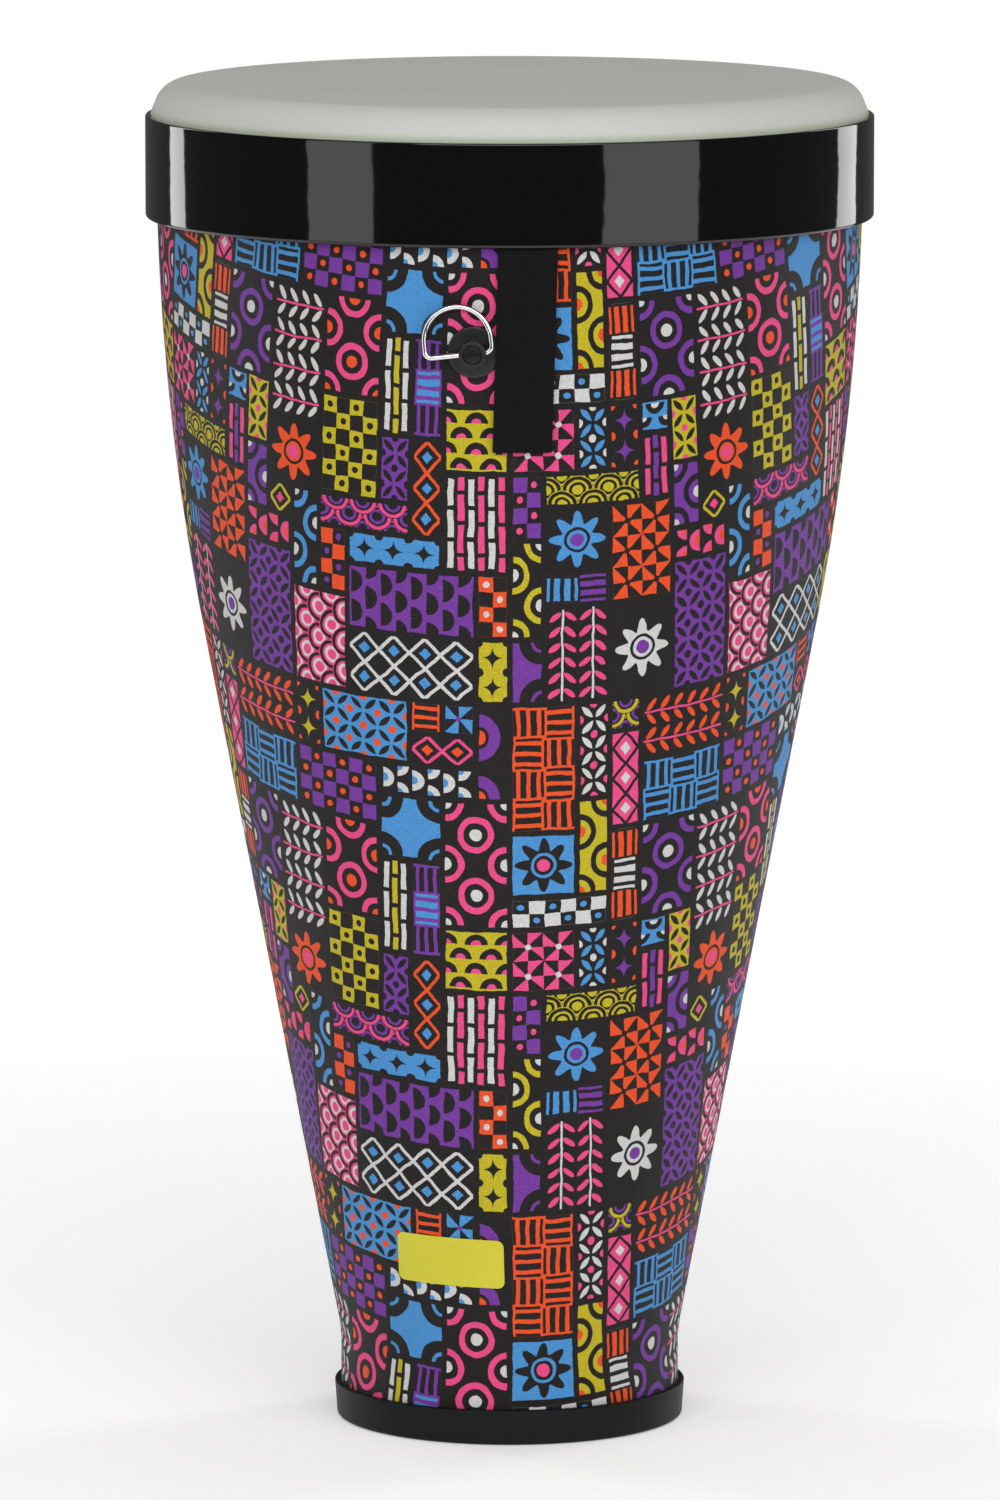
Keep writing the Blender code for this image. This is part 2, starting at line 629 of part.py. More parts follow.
def build_fixing(black, steel, boss):
    """Slotted screw through saddle, flange and shell, with its washer and nut inside."""
    seat = SADDLE_TOP - SADDLE_RECESS + GAP
    head_top = seat + SCREW_HEAD_HEIGHT
    washer_top = -washer_face()
    nut_top = washer_top - WASHER_THICKNESS - GAP
    shank_end = nut_top - NUT_HEIGHT - SCREW_END
    screw = turned(
        "saddle_screw",
        [
            (0.0, head_top),
            (SCREW_HEAD_RADIUS - SCREW_HEAD_CROWN, head_top),
            (SCREW_HEAD_RADIUS, head_top - SCREW_HEAD_CROWN),
            (SCREW_HEAD_RADIUS, seat),
            (SHANK_RADIUS, seat),
            (SHANK_RADIUS, shank_end + SCREW_HEAD_CROWN),
            (SHANK_RADIUS - SCREW_HEAD_CROWN, shank_end),
            (0.0, shank_end),
        ],
        black,
        SMALL_SEGMENTS,
        boss,
        closed=False,
    )
    slot_mesh = box_mesh("slot_cutter", 2 * SCREW_HEAD_RADIUS + SLOT_WIDTH, SLOT_WIDTH, 2 * SLOT_DEPTH)
    slot = add_object("slot_cutter", slot_mesh, None, boss)
    slot.location.z = head_top
    slot.rotation_euler.z = SLOT_TILT
    cut(screw, slot)

    washer = [
        (WASHER_RADIUS, washer_top),
        (WASHER_RADIUS, washer_top - WASHER_THICKNESS),
        (SHANK_CLEARANCE, washer_top - WASHER_THICKNESS),
        (SHANK_CLEARANCE, washer_top),
    ]
    turned("backing_washer", washer, steel, SMALL_SEGMENTS, boss)

    corner = NUT_ACROSS_FLATS / math.sqrt(3)
    hexagon = [(0.0, nut_top), (corner, nut_top), (corner, nut_top - NUT_HEIGHT), (0.0, nut_top - NUT_HEIGHT)]
    nut = turned("saddle_nut", hexagon, steel, 6, boss, closed=False)
    cut(nut, build_shank_cutter("nut_bore", boss))


def build_shank_cutter(name, boss):
    """Drill for the screw's shank, long enough to pass right through the wall and the nut."""
    reach = washer_face() + WASHER_THICKNESS + NUT_HEIGHT + 2 * SCREW_END
    profile = [
        (0.0, FLANGE_RADIUS),
        (SHANK_CLEARANCE, FLANGE_RADIUS),
        (SHANK_CLEARANCE, -reach),
        (0.0, -reach),
    ]
    return turned(name, profile, None, SMALL_SEGMENTS // 2, boss, closed=False)


def box_mesh(name, length, width, height):
    mesh = bpy.data.meshes.new(name)
    work = bmesh.new()
    bmesh.ops.create_cube(work, size=1.0, matrix=Matrix.Diagonal((length, width, height, 1.0)))
    work.to_mesh(mesh)
    work.free()
    return mesh


def build_sticker(finish):
    """Blank sticker with rounded corners, low on the front of the covering."""

    def place(v, u, lift):
        across = u * math.cos(STICKER_TILT) - v * math.sin(STICKER_TILT)
        rise = u * math.sin(STICKER_TILT) + v * math.cos(STICKER_TILT)
        z = STICKER_HEIGHT + rise * math.cos(CONE_ANGLE)
        return on_cover(STICKER_AZIMUTH, z, across, lift)

    rows = rounded_rows(STICKER_TALL / 2, STICKER_WIDTH / 2, STICKER_CORNER, STICKER_ROWS)
    return patch("sticker", rows, place, GAP, STICKER_THICKNESS, finish, STICKER_COLUMNS)


def clear_scene():
    for item in list(bpy.data.objects):
        bpy.data.objects.remove(item, do_unlink=True)


def build():
    clear_scene()
    fibre = material("shell_fibre", (0.055, 0.045, 0.038), 0.75)
    print_cloth = material("printed_cover", (0.30, 0.16, 0.24), 0.55)
    ring_plastic = material("bearing_plastic", (0.03, 0.03, 0.03), 0.55)
    rubber = material("foot_rubber", (0.012, 0.012, 0.013), 0.7)
    gloss = material("hoop_gloss_black", (0.005, 0.005, 0.005), 0.08)
    film = material("coated_film", (0.42, 0.42, 0.40), 0.7)
    flesh = material("flesh_hoop_resin", (0.10, 0.10, 0.10), 0.5)
    webbing = material("strap_webbing", (0.010, 0.010, 0.010), 0.85)
    hooks = material("hook_tape", (0.010, 0.010, 0.010), 0.9)
    moulded = material("saddle_plastic", (0.008, 0.008, 0.009), 0.45)
    chrome = material("ring_chrome", (0.80, 0.80, 0.80), 0.10, 1.0)
    blackened = material("blackened_steel", (0.02, 0.02, 0.02), 0.35, 0.8)
    steel = material("zinc_steel", (0.55, 0.55, 0.56), 0.35, 1.0)
    yellow = material("sticker_yellow", (0.56, 0.51, 0.03), 0.45)

    shell = build_shell(fibre)
    wrap = build_wrap(print_cloth)
    build_rubber_foot(rubber)
    build_bearing_ring(ring_plastic)
    build_sticker(yellow)

    head = add_frame("head_lift", Matrix.Identity(4))
    build_counter_hoop(gloss, head)
    build_head_film(film, head)
    build_flesh_hoop(flesh, head)
    for index in range(STRAP_COUNT):
        build_strap(index, webbing, head)
        build_strap_anchor(index, webbing, head)
        build_hook_pad(index, hooks)

    boss = add_frame("boss", boss_matrix())
    bpy.context.view_layer.update()
    cut(shell, build_shank_cutter("shell_drill", boss))
    cut(wrap, build_shank_cutter("wrap_drill", boss))
    build_flange(moulded)
    build_saddle(moulded, boss)
    build_carry_ring(chrome, boss)
    build_fixing(blackened, steel, boss)
    bpy.context.view_layer.update()


build()
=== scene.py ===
"""Looks of the stack drum: covering, head, hoop, straps, carrying ring and stage."""
import math

import bpy
import numpy as np
from bpy.props import FloatProperty, FloatVectorProperty, IntProperty, PointerProperty
from mathutils import Matrix, Vector


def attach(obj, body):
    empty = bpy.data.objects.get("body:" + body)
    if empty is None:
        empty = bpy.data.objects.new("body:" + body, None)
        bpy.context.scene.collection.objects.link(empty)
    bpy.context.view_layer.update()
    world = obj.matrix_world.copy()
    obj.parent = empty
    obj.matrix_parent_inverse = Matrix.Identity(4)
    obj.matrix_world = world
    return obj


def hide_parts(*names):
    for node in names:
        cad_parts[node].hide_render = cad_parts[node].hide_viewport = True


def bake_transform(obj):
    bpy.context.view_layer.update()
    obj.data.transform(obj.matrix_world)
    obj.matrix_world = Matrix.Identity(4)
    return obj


bl_info = {
    "name": "Stack drum looks",
    "version": (1, 0, 0),
    "blender": (4, 5, 0),
    "location": "View3D > Sidebar > Drum",
    "description": "Builds the visible surfaces of a stack drum round its packed frame",
    "category": "Object",
}

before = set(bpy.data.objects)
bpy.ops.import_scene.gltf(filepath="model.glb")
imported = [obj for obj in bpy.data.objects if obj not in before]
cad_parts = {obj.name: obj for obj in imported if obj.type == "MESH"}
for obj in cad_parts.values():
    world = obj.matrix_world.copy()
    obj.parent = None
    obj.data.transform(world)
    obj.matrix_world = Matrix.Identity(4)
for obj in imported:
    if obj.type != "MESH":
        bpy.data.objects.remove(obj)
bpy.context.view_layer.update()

# Outline of the covered shell, as in the frame
FOOT_RADIUS = 0.0731
FOOT_NECK = 0.034
NECK_BEND = 0.030
TOP_RADIUS = 0.15116
SHOULDER_RADIUS = 1.090
SHOULDER_HEIGHT = 0.5498
COVER_BOTTOM = 0.0033
COVER_TOP = 0.5567
WRAP_THICKNESS = 0.0006
SHELL_WALL = 0.005
GAP = 0.0003

# Foot, hoop and head
FOOT_HEIGHT = 0.0152
FOOT_LIP = 0.0024
FOOT_DRAFT = 0.0009
FOOT_FLOOR = 0.003
FOOT_INNER_WALL = 0.002
FOOT_INNER_HEIGHT = 0.012
FOOT_CORNER = 0.0015
FOOT_LIP_ROUND = 0.0008
HOOP_BOTTOM = 0.5211
HOOP_TOP = 0.5648
HOOP_INNER = 0.1537
HOOP_OUTER = 0.1558
HOOP_BEAD = 0.0008
HOOP_CORNER = 0.0016
HEAD_TOP = 0.5787
FILM_THICKNESS = 0.0004
CROWN_RADIUS = 0.0116
CROWN_START = 0.140364
FILM_SLANT = math.radians(22)
FILM_KNEE = 0.5658
FILM_FOOT = 0.0022
COLLAR_RADIUS = 0.1534
COLLAR_BOTTOM = 0.5443
CROWN_CENTRE = (CROWN_START, HEAD_TOP - CROWN_RADIUS)
BEARING_TOP = 0.5780
BEARING_SEAT = 0.5570
BEARING_SKIRT = 0.017
BEARING_WIDTH = 0.010
BEARING_CHAMFER = 0.0015

# Straps, pads and sticker
STRAP_COUNT = 3
STRAP_AZIMUTH = math.radians(2.84)
STRAP_WIDTH = 0.0245
STRAP_THICKNESS = 0.0011
STRAP_LIFT = 0.0014
STRAP_TOP = 0.5208
STRAP_BOTTOM = 0.4354
STRAP_HIDDEN_TOP = 0.5430
STRAP_LEAN = -0.00215
ROWS_PER_RIB = 6
SELVEDGE_LOSS = 0.35
BEND_ABOVE = 0.001
BEND_BELOW = 0.012
PAD_THICKNESS = 0.0008
PAD_TOP = 0.5088
PAD_BOTTOM = 0.4374
PAD_HALF_WIDTH = 0.00975
PAD_CORNER = 0.002
STICKER_AZIMUTH = math.radians(-18.6)
STICKER_HEIGHT = 0.0806
STICKER_WIDTH = 0.048
STICKER_TALL = 0.0219
STICKER_THICKNESS = 0.00025
STICKER_CORNER = 0.003
STICKER_TILT = math.radians(-2.0)

# Saddle, ring and screw, in the frame of the boss
BOSS_HEIGHT = 0.4775
BOSS_TILT = math.radians(6.5)
FLANGE_RADIUS = 0.011
FLANGE_TUCK = 0.002
FLANGE_RIM = 0.0008
FLANGE_CROWN = 0.001
SADDLE_RADIUS = 0.00575
SADDLE_SEAT = 0.0016
SADDLE_TOP = 0.00765
SADDLE_ROUND = 0.0007
SADDLE_RECESS = 0.0014
LIP_ROUND = 0.0004
PIVOT_WEB = 0.0004
PIVOT_FLARE = 0.0004
RING_AXIS = 0.0042
WIRE_RADIUS = 0.0012
RING_WIDTH = 0.028
RING_HEIGHT = 0.0202
RING_CORNER = 0.003
RING_CLEARANCE = 0.0004
SHANK_RADIUS = 0.002
SCREW_HEAD_RADIUS = 0.0037
SCREW_HEAD_HEIGHT = 0.0010
SLOT_WIDTH = 0.0009
SLOT_DEPTH = 0.0006
SLOT_TILT = math.radians(6)
SHANK_END = -0.0127

# Facets of the meshes and the angle past which an edge stays sharp
SMALL_FACETS = 96
SCREW_FACETS = 64
HOLE_FACETS = 40
WIRE_SIDES = 24
ROUND_STEPS = 8
SHARP_ANGLE = math.radians(38)
CUT_SHARP_ANGLE = math.radians(35)

# Camera that was fitted to the ellipses of the head, the hoop and the foot
CAMERA_PLACE = (-0.00414, -4.613, 0.9383)
CAMERA_PITCH = math.radians(8.0)
CAMERA_LENS = 259.4


def linear(red, green, blue):
    """Scene-linear colour of a display colour given from 0 to 255."""
    shares = np.array([red, green, blue]) / 255
    return tuple(np.where(shares <= 0.04045, shares / 12.92, ((shares + 0.055) / 1.055) ** 2.4))


def shade(name, description, display):
    """Colour property whose default is given as a display colour."""
    start = linear(*display)
    return FloatVectorProperty(
        name=name, description=description, subtype="COLOR", min=0, max=1, default=start
    )


def length(name, description, default):
    """Length property in metres."""
    return FloatProperty(
        name=name, description=description, default=default, min=0, unit="LENGTH", precision=5
    )


class DrumSizes(bpy.types.PropertyGroup):
    """Sizes of the surface detail."""

    facets: IntProperty(name="Facets", description="Facets round each large piece", default=240)
    cell: length("Patch cell", "Side of one cell of the patchwork", 0.0143)
    margin: length("Patch margin", "Dark border inside the edge of each patch", 0.0013)
    wobble: length("Hand wobble", "How far the print's lines stray", 0.0011)
    thread: length("Canvas thread", "Pitch of the threads under the print", 0.0009)
    rib: length("Webbing rib", "Pitch of the ribs across the straps", 0.0016)
    warp: length("Webbing warp", "Pitch of the threads along the straps", 0.0007)
    rib_height: length("Rib height", "Height of the ribs across the straps", 0.00012)
    patch_seed: IntProperty(name="Patch seed", description="Picks another patchwork", default=5)


class DrumColours(bpy.types.PropertyGroup):
    """Colours of the drum's finishes."""

    pink: shade("Pink ink", "Print colour", (240, 78, 140))
    orange: shade("Orange ink", "Print colour", (242, 84, 36))
    blue: shade("Blue ink", "Print colour", (76, 150, 214))
    yellow: shade("Yellow ink", "Print colour", (200, 184, 34))
    purple: shade("Purple ink", "Print colour", (120, 58, 160))
    grey: shade("Grey ink", "Print colour", (214, 214, 212))
    dark: shade("Dark ground", "Ground between the patches", (30, 27, 26))
    film: shade("Head film", "Suede coat of the head", (197, 197, 191))
    hoop: shade("Hoop", "Gloss lacquer", (4, 4, 4))
    rubber: shade("Rubber", "Foot", (16, 17, 18))
    webbing: shade("Webbing", "Straps and hook tape", (16, 16, 16))
    moulding: shade("Moulding", "Saddle and flange", (13, 13, 14))
    sticker: shade("Sticker", "Blank label", (194, 186, 34))
    fibre: shade("Fibre", "Inside of the shell", (66, 56, 48))


def math_node(operation, swapped=False):
    """Method that adds the Math node of an operation, with swapped values in a reflected form."""
    def method(self, *others):
        values = (*others, self) if swapped else (self, *others)
        return self.finish.math(operation, *values)
    return method


class Link:
    """A value that flows between shader nodes, where arithmetic adds the Math nodes it needs."""

    def __init__(self, finish, socket):
        self.finish = finish
        self.socket = socket

    __add__ = __radd__ = math_node("ADD")
    __sub__ = math_node("SUBTRACT")
    __rsub__ = math_node("SUBTRACT", swapped=True)
    __mul__ = __rmul__ = math_node("MULTIPLY")
    __truediv__ = math_node("DIVIDE")
    __pow__ = math_node("POWER")
    __mod__ = math_node("FLOORED_MODULO")
    __gt__ = math_node("GREATER_THAN")
    __lt__ = math_node("LESS_THAN")
    __abs__ = math_node("ABSOLUTE")
    floor = math_node("FLOOR")
    fract = math_node("FRACT")
    sign = math_node("SIGN")
    sine = math_node("SINE")
    cosine = math_node("COSINE")
    azimuth = math_node("ARCTAN2")
    least = math_node("MINIMUM")
    most = math_node("MAXIMUM")
    matches = math_node("COMPARE")

    def clamp(self):
        """The value held between 0 and 1."""
        return self.finish.math("ADD", self, 0.0, clamp=True)

    def reach(self, other):
        """Length of the vector (self, other)."""
        vector = self.finish.result("ShaderNodeCombineXYZ", None, {0: self, 1: other})
        settings = {"operation": "LENGTH"}
        return self.finish.result("ShaderNodeVectorMath", settings, {0: vector}, "Value")


class Finish:
    """A material under construction, with one Principled shader."""

    def __init__(self, name):
        self.material = bpy.data.materials.new(name)
        self.material.use_nodes = True
        self.tree = self.material.node_tree
        self.shader = self.tree.nodes["Principled BSDF"]
        self.coordinates = self.node("ShaderNodeTexCoord").outputs["Object"]

    def node(self, kind, settings=None, values=None):
        """Adds a node: its settings are set first, then each socket gets its value or link."""
        made = self.tree.nodes.new(kind)
        for key, value in (settings or {}).items():
            setattr(made, key, value)
        for key, value in (values or {}).items():
            self.feed(made.inputs[key], value)
        return made

    def result(self, kind, settings=None, values=None, output=0):
        """Adds a node and gives one of its outputs."""
        return Link(self, self.node(kind, settings, values).outputs[output])

    def feed(self, socket, value):
        """Links a value to a socket, or sets it there, with an alpha added to a colour of three."""
        if isinstance(value, Link):
            self.tree.links.new(value.socket, socket)
        elif isinstance(value, bpy.types.NodeSocket):
            self.tree.links.new(value, socket)
        elif socket.type == "RGBA" and len(value) == 3:
            socket.default_value = (*value, 1.0)
        else:
            socket.default_value = value

    def math(self, operation, *values, clamp=False):
        settings = {"operation": operation, "use_clamp": clamp}
        return self.result("ShaderNodeMath", settings, dict(enumerate(values)))

    def parts(self, vector):
        """The three numbers of a vector."""
        made = self.node("ShaderNodeSeparateXYZ", None, {0: vector})
        return [Link(self, made.outputs[i]) for i in range(3)]

    def uv(self, name):
        return self.parts(self.result("ShaderNodeUVMap", {"uv_map": name}))

    def attribute(self, name, output):
        return self.result("ShaderNodeAttribute", {"attribute_name": name}, None, output)

    def noise(self, scale, detail=3.0, roughness=0.5, vector=None, output="Fac"):
        values = {
            "Vector": vector or self.coordinates,
            "Scale": scale,
            "Detail": detail,
            "Roughness": roughness,
        }
        return self.result("ShaderNodeTexNoise", None, values, output)

    def stretched(self, scale):
        """Object coordinates multiplied by a scale for each axis."""
        values = {0: self.coordinates, 1: scale}
        return self.result("ShaderNodeVectorMath", {"operation": "MULTIPLY"}, values)

    def mix(self, factor, first, second):
        values = {0: factor, 6: first, 7: second}
        return self.result("ShaderNodeMix", {"data_type": "RGBA"}, values, 2)

    def tint(self, colour, amount):
        """Colour multiplied by a number near 1."""
        values = {0: colour, "Scale": amount}
        return self.result("ShaderNodeVectorMath", {"operation": "SCALE"}, values)

    def bump(self, height, depth):
        values = {"Strength": 1.0, "Distance": depth, "Height": height}
        return self.result("ShaderNodeBump", None, values)

    def shade(self, **sockets):
        """Sets the shader's sockets, named with underscores for spaces."""
        for key, value in sockets.items():
            self.feed(self.shader.inputs[key.replace("_", " ")], value)
        return self.material


def sizes():
    return bpy.context.scene.stack_drum_sizes


def colours():
    return bpy.context.scene.stack_drum_colours


def cone_angle():
    """Angle of the cone that is tangent to the neck bend and to the shoulder curve."""
    rise = SHOULDER_HEIGHT - FOOT_NECK
    run = SHOULDER_RADIUS + NECK_BEND + FOOT_RADIUS - TOP_RADIUS
    reach = math.hypot(rise, run)
    return math.atan2(rise, run) - math.acos((SHOULDER_RADIUS + NECK_BEND) / reach)


CONE_ANGLE = cone_angle()
CONE_START = FOOT_NECK + NECK_BEND * math.sin(CONE_ANGLE)
CONE_END = SHOULDER_HEIGHT - SHOULDER_RADIUS * math.sin(CONE_ANGLE)


def cover_radius(height):
    """Radius of the covering at heights: straight foot, bend, cone, long shoulder curve."""
    height = np.asarray(height, float)
    bend_run = np.maximum(NECK_BEND**2 - (height - FOOT_NECK) ** 2, 0)
    bend = FOOT_RADIUS + NECK_BEND - np.sqrt(bend_run)
    cone_top = TOP_RADIUS - SHOULDER_RADIUS * (1 - math.cos(CONE_ANGLE))
    cone = cone_top - (CONE_END - height) * math.tan(CONE_ANGLE)
    shoulder_run = np.maximum(SHOULDER_RADIUS**2 - (SHOULDER_HEIGHT - height) ** 2, 0)
    shoulder = TOP_RADIUS - SHOULDER_RADIUS + np.sqrt(shoulder_run)
    ranges = [height <= FOOT_NECK, height <= CONE_START, height <= CONE_END]
    return np.select(ranges, [FOOT_RADIUS + 0 * height, bend, cone], shoulder)


def bore_radius(height):
    return cover_radius(height) - WRAP_THICKNESS - GAP - SHELL_WALL


def around(radius, azimuth, height):
    """Points at a radius and an azimuth measured from the front, towards the right."""
    x, y = radius * np.sin(azimuth), -radius * np.cos(azimuth)
    return np.stack([x, y, height + 0 * azimuth], axis=-1)


def on_cover(azimuth, height, across=0.0, lift=0.0):
    """Points on the covering, moved by a distance across it and lifted along the radius."""
    radius = cover_radius(height)
    return around(radius + lift, azimuth + across / radius, height)


def full_turn(count):
    """Angles of equal steps round a circle."""
    return np.linspace(0, math.tau, count, endpoint=False)


def arc(centre, radius, start, end, steps):
    """Points on an arc of a profile, angles from +R towards +Z."""
    angles = np.linspace(start, end, steps + 1)
    return np.array(centre) + radius * np.column_stack([np.cos(angles), np.sin(angles)])


def corner(radius, height, rounding, steps=ROUND_STEPS):
    """Rounded outer corner of a profile, from its top round to its side."""
    return arc((radius - rounding, height - rounding), rounding, math.pi / 2, 0, steps)


def low_corner(radius, height, rounding, steps=ROUND_STEPS):
    """Rounded outer corner of a profile, from its side round to its underside."""
    return arc((radius - rounding, height + rounding), rounding, 0, -math.pi / 2, steps)


def grid_faces(rows, columns, loop_rows=False, loop_columns=False):
    """Quads between neighbouring points of a grid, closing round where asked."""
    i = np.arange(rows if loop_rows else rows - 1)
    j = np.arange(columns if loop_columns else columns - 1)
    i, j = (a.ravel() for a in np.meshgrid(i, j, indexing="ij"))
    below, right = (i + 1) % rows, (j + 1) % columns
    corners = (i * columns + j, i * columns + right, below * columns + right, below * columns + j)
    return np.stack(corners, axis=1)


def signed_volume(points, faces):
    """Sum of the tetrahedra between the origin and each face, cut into a fan of triangles."""
    total = 0.0
    for group in faces:
        for k in range(1, group.shape[1] - 1):
            a, b, c = points[group[:, 0]], points[group[:, k]], points[group[:, k + 1]]
            total += np.einsum("ij,ij->", a, np.cross(b, c))
    return total


def add_object(name, data):
    """Puts a mesh, a light or a camera in the scene."""
    made = bpy.data.objects.new(name, data)
    bpy.context.scene.collection.objects.link(made)
    return made


def make_object(name, points, faces, closed=True):
    """Object of a mesh of quads and triangles, with the faces of a closed one pointing out."""
    points = np.asarray(points, float).reshape(-1, 3)
    if closed and signed_volume(points - points.mean(axis=0), faces) < 0:
        faces = [group[:, ::-1] for group in faces]
    corners = np.concatenate([group.ravel() for group in faces])
    counts = np.concatenate([np.full(len(group), group.shape[1]) for group in faces])
    mesh = bpy.data.meshes.new(name)
    mesh.vertices.add(len(points))
    mesh.vertices.foreach_set("co", points.astype(np.float32).ravel())
    mesh.loops.add(len(corners))
    mesh.loops.foreach_set("vertex_index", corners.astype(np.int32))
    mesh.polygons.add(len(counts))
    mesh.polygons.foreach_set("loop_start", (np.cumsum(counts) - counts).astype(np.int32))
    mesh.update(calc_edges=True)
    mesh.shade_smooth()
    mesh.set_sharp_from_angle(angle=SHARP_ANGLE)
    return add_object(name, mesh)


def write_uv(mesh, name, values):
    """Adds a UV map from two numbers for each corner of the mesh."""
    layer = mesh.uv_layers.new(name=name)
    layer.uv.foreach_set("vector", values.astype(np.float32).ravel())


def capped(name, rings, ends):
    """Tube through rings of points, closed at each end by a fan of triangles about one point."""
    rows, sides = rings.shape[:2]
    j = np.arange(sides)
    k = (j + 1) % sides
    last, pole = (rows - 1) * sides, rows * sides
    first_fan = np.stack([pole + 0 * j, k, j], axis=1)
    last_fan = np.stack([last + j, last + k, pole + 1 + 0 * j], axis=1)
    points = np.concatenate([rings.reshape(-1, 3), ends])
    return make_object(name, points, [grid_faces(rows, sides, False, True), first_fan, last_fan])


def turned(name, parts, facets=None, matrix=Matrix.Identity(4)):
    """Parts of a profile of (radius, height) points turned about Z, then put in place by a matrix.

    Point (p, q) is (radius_p cos q, radius_p sin q, height_p). A profile that starts and ends on
    the axis closes in two poles, and any other closes on itself.
    """
    profile = np.concatenate(parts)
    poles = not profile[0, 0] and not profile[-1, 0]
    rings = profile[1:-1] if poles else profile
    turns = full_turn(facets or sizes().facets) + STRAP_AZIMUTH - math.pi / 2
    radius, height = rings[:, :1], rings[:, 1:]
    x, y = radius * np.cos(turns), radius * np.sin(turns)
    points = moved(np.stack([x, y, height + 0 * turns], axis=-1), matrix)
    if poles:
        ends = np.array([(0, 0, profile[0, 1]), (0, 0, profile[-1, 1])])
        return capped(name, points, moved(ends, matrix))
    return make_object(name, points, [grid_faces(len(rings), len(turns), True, True)])


def moved(points, matrix):
    """Points carried by a 4 by 4 matrix."""
    rotation = np.array(matrix.to_3x3())
    return points @ rotation.T + np.array(matrix.translation)


def layered(name, under, over, loop=False):
    """Closed solid between two grids of points; with loop set, each row closes round on itself."""
    under, over = np.asarray(under), np.asarray(over)
    rows, columns = over.shape[:2]
    if loop:
        points = np.concatenate([over, under[::-1]])
        return make_object(name, points, [grid_faces(2 * rows, columns, True, True)])
    points = np.concatenate([over, under[:, ::-1]], axis=1)
    faces = [grid_faces(rows, 2 * columns, False, True)]
    k = np.arange(columns - 1)
    near = np.stack([k, 2 * columns - 1 - k, 2 * columns - 2 - k, k + 1], axis=1)
    far = near[:, ::-1] + (rows - 1) * 2 * columns
    return make_object(name, points, faces + [near, far])


def swept(name, path, normal, radius, sides):
    """Round bar along a flat path.

    Each ring's points are its centre plus radius (cos a side + sin a normal), where side is the
    normal crossed with the path's tangent.
    """
    tangent = np.gradient(path, axis=0)
    tangent /= np.linalg.norm(tangent, axis=1, keepdims=True)
    side = np.cross(normal, tangent)
    turns = full_turn(sides)[None, :, None]
    rings = path[:, None] + radius * (np.cos(turns) * side[:, None] + np.sin(turns) * normal)
    return capped(name, rings, path[[0, -1]])


def cut_away(piece, cutters):
    """Subtracts the cutters and keeps only the cut mesh."""
    for cutter in cutters:
        boolean = piece.modifiers.new(cutter.name, "BOOLEAN")
        boolean.object = cutter
    bpy.context.view_layer.update()
    evaluated = piece.evaluated_get(bpy.context.evaluated_depsgraph_get())
    mesh = bpy.data.meshes.new_from_object(evaluated)
    piece.modifiers.clear()
    piece.data = mesh
    mesh.shade_smooth()
    mesh.set_sharp_from_angle(angle=CUT_SHARP_ANGLE)
    for cutter in cutters:
        bpy.data.objects.remove(cutter)


def dress(piece, body, slot, material, *nodes):
    """Gives a piece its material and body, and hides the nodes that it stands for."""
    piece.data.materials.clear()
    piece.data.materials.append(material)
    if body:
        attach(piece, body)
    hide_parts(*nodes)


def dress_node(name, material):
    """Gives a node of the frame that stays in view its material."""
    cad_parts[name].material_slots[0].material = material


def rounded_rows(low, high, half_width, rounding, middle, steps=6):
    """Heights and half widths of an oblong with rounded corners, from its lower edge up."""
    turns = np.linspace(math.pi / 2, 0, steps + 1)
    rise, run = rounding * (1 - np.sin(turns)), rounding * (1 - np.cos(turns))
    straight = np.linspace(low + rounding, high - rounding, middle + 1)[1:-1]
    heights = np.concatenate([low + rise, straight, (high - rise)[::-1]])
    ends = half_width - run
    return heights, np.concatenate([ends, half_width + 0 * straight, ends[::-1]])


# The patchwork of the covering: patch sizes in cells, and how often each is tried first
PATCH_SIZES = [
    (2, 2), (3, 2), (2, 3), (4, 2), (3, 1), (1, 3), (2, 1), (1, 2), (3, 3), (2, 4), (1, 1),
]
PATCH_WEIGHTS = np.array([14, 13, 13, 9, 10, 10, 9, 9, 5, 5, 3], float)
PATCH_CHANCES = PATCH_WEIGHTS / PATCH_WEIGHTS.sum()
TILE_ACROSS, TILE_UP = 14, 16
INKS = ("pink", "orange", "blue", "yellow", "purple", "grey")
MOTIF_COUNT = 14
SQUARE_MOTIFS = (8, 9)
SQUARE_FAVOUR = 3
BRIGHT_GROUNDS = 0.36
SHEET_STEPS = 2
OUTLINE_POINTS = 900
PRINT_EDGE = 0.014
# Noise scale of the print's stray lines, slow and quick, and how much of the wobble each makes
STRAYS = ((95.0, 1.6), (420.0, 0.5))


def plan_tile(chance):
    """Fills a tile of cells with oblong patches that wrap round its edges.

    Each free cell, in reading order, becomes the lower left corner of the first size of a shuffled
    list that fits. Returns every cell's patch number and its offset there, and the patch sizes.
    """
    number = np.full((TILE_UP, TILE_ACROSS), -1)
    offset = np.zeros((TILE_UP, TILE_ACROSS, 2), int)
    spans = []
    for row in range(TILE_UP):
        for column in range(TILE_ACROSS):
            if number[row, column] >= 0:
                continue
            order = chance.choice(len(PATCH_SIZES), len(PATCH_SIZES), False, PATCH_CHANCES)
            for across, up in [PATCH_SIZES[k] for k in order]:
                rows = (row + np.arange(up)) % TILE_UP
                columns = (column + np.arange(across)) % TILE_ACROSS
                if (number[np.ix_(rows, columns)] < 0).all():
                    break
            number[np.ix_(rows, columns)] = len(spans)
            steps = np.meshgrid(np.arange(across), np.arange(up))
            offset[np.ix_(rows, columns)] = np.stack(steps, axis=-1)
            spans.append((across, up))
    return number, offset, np.array(spans)


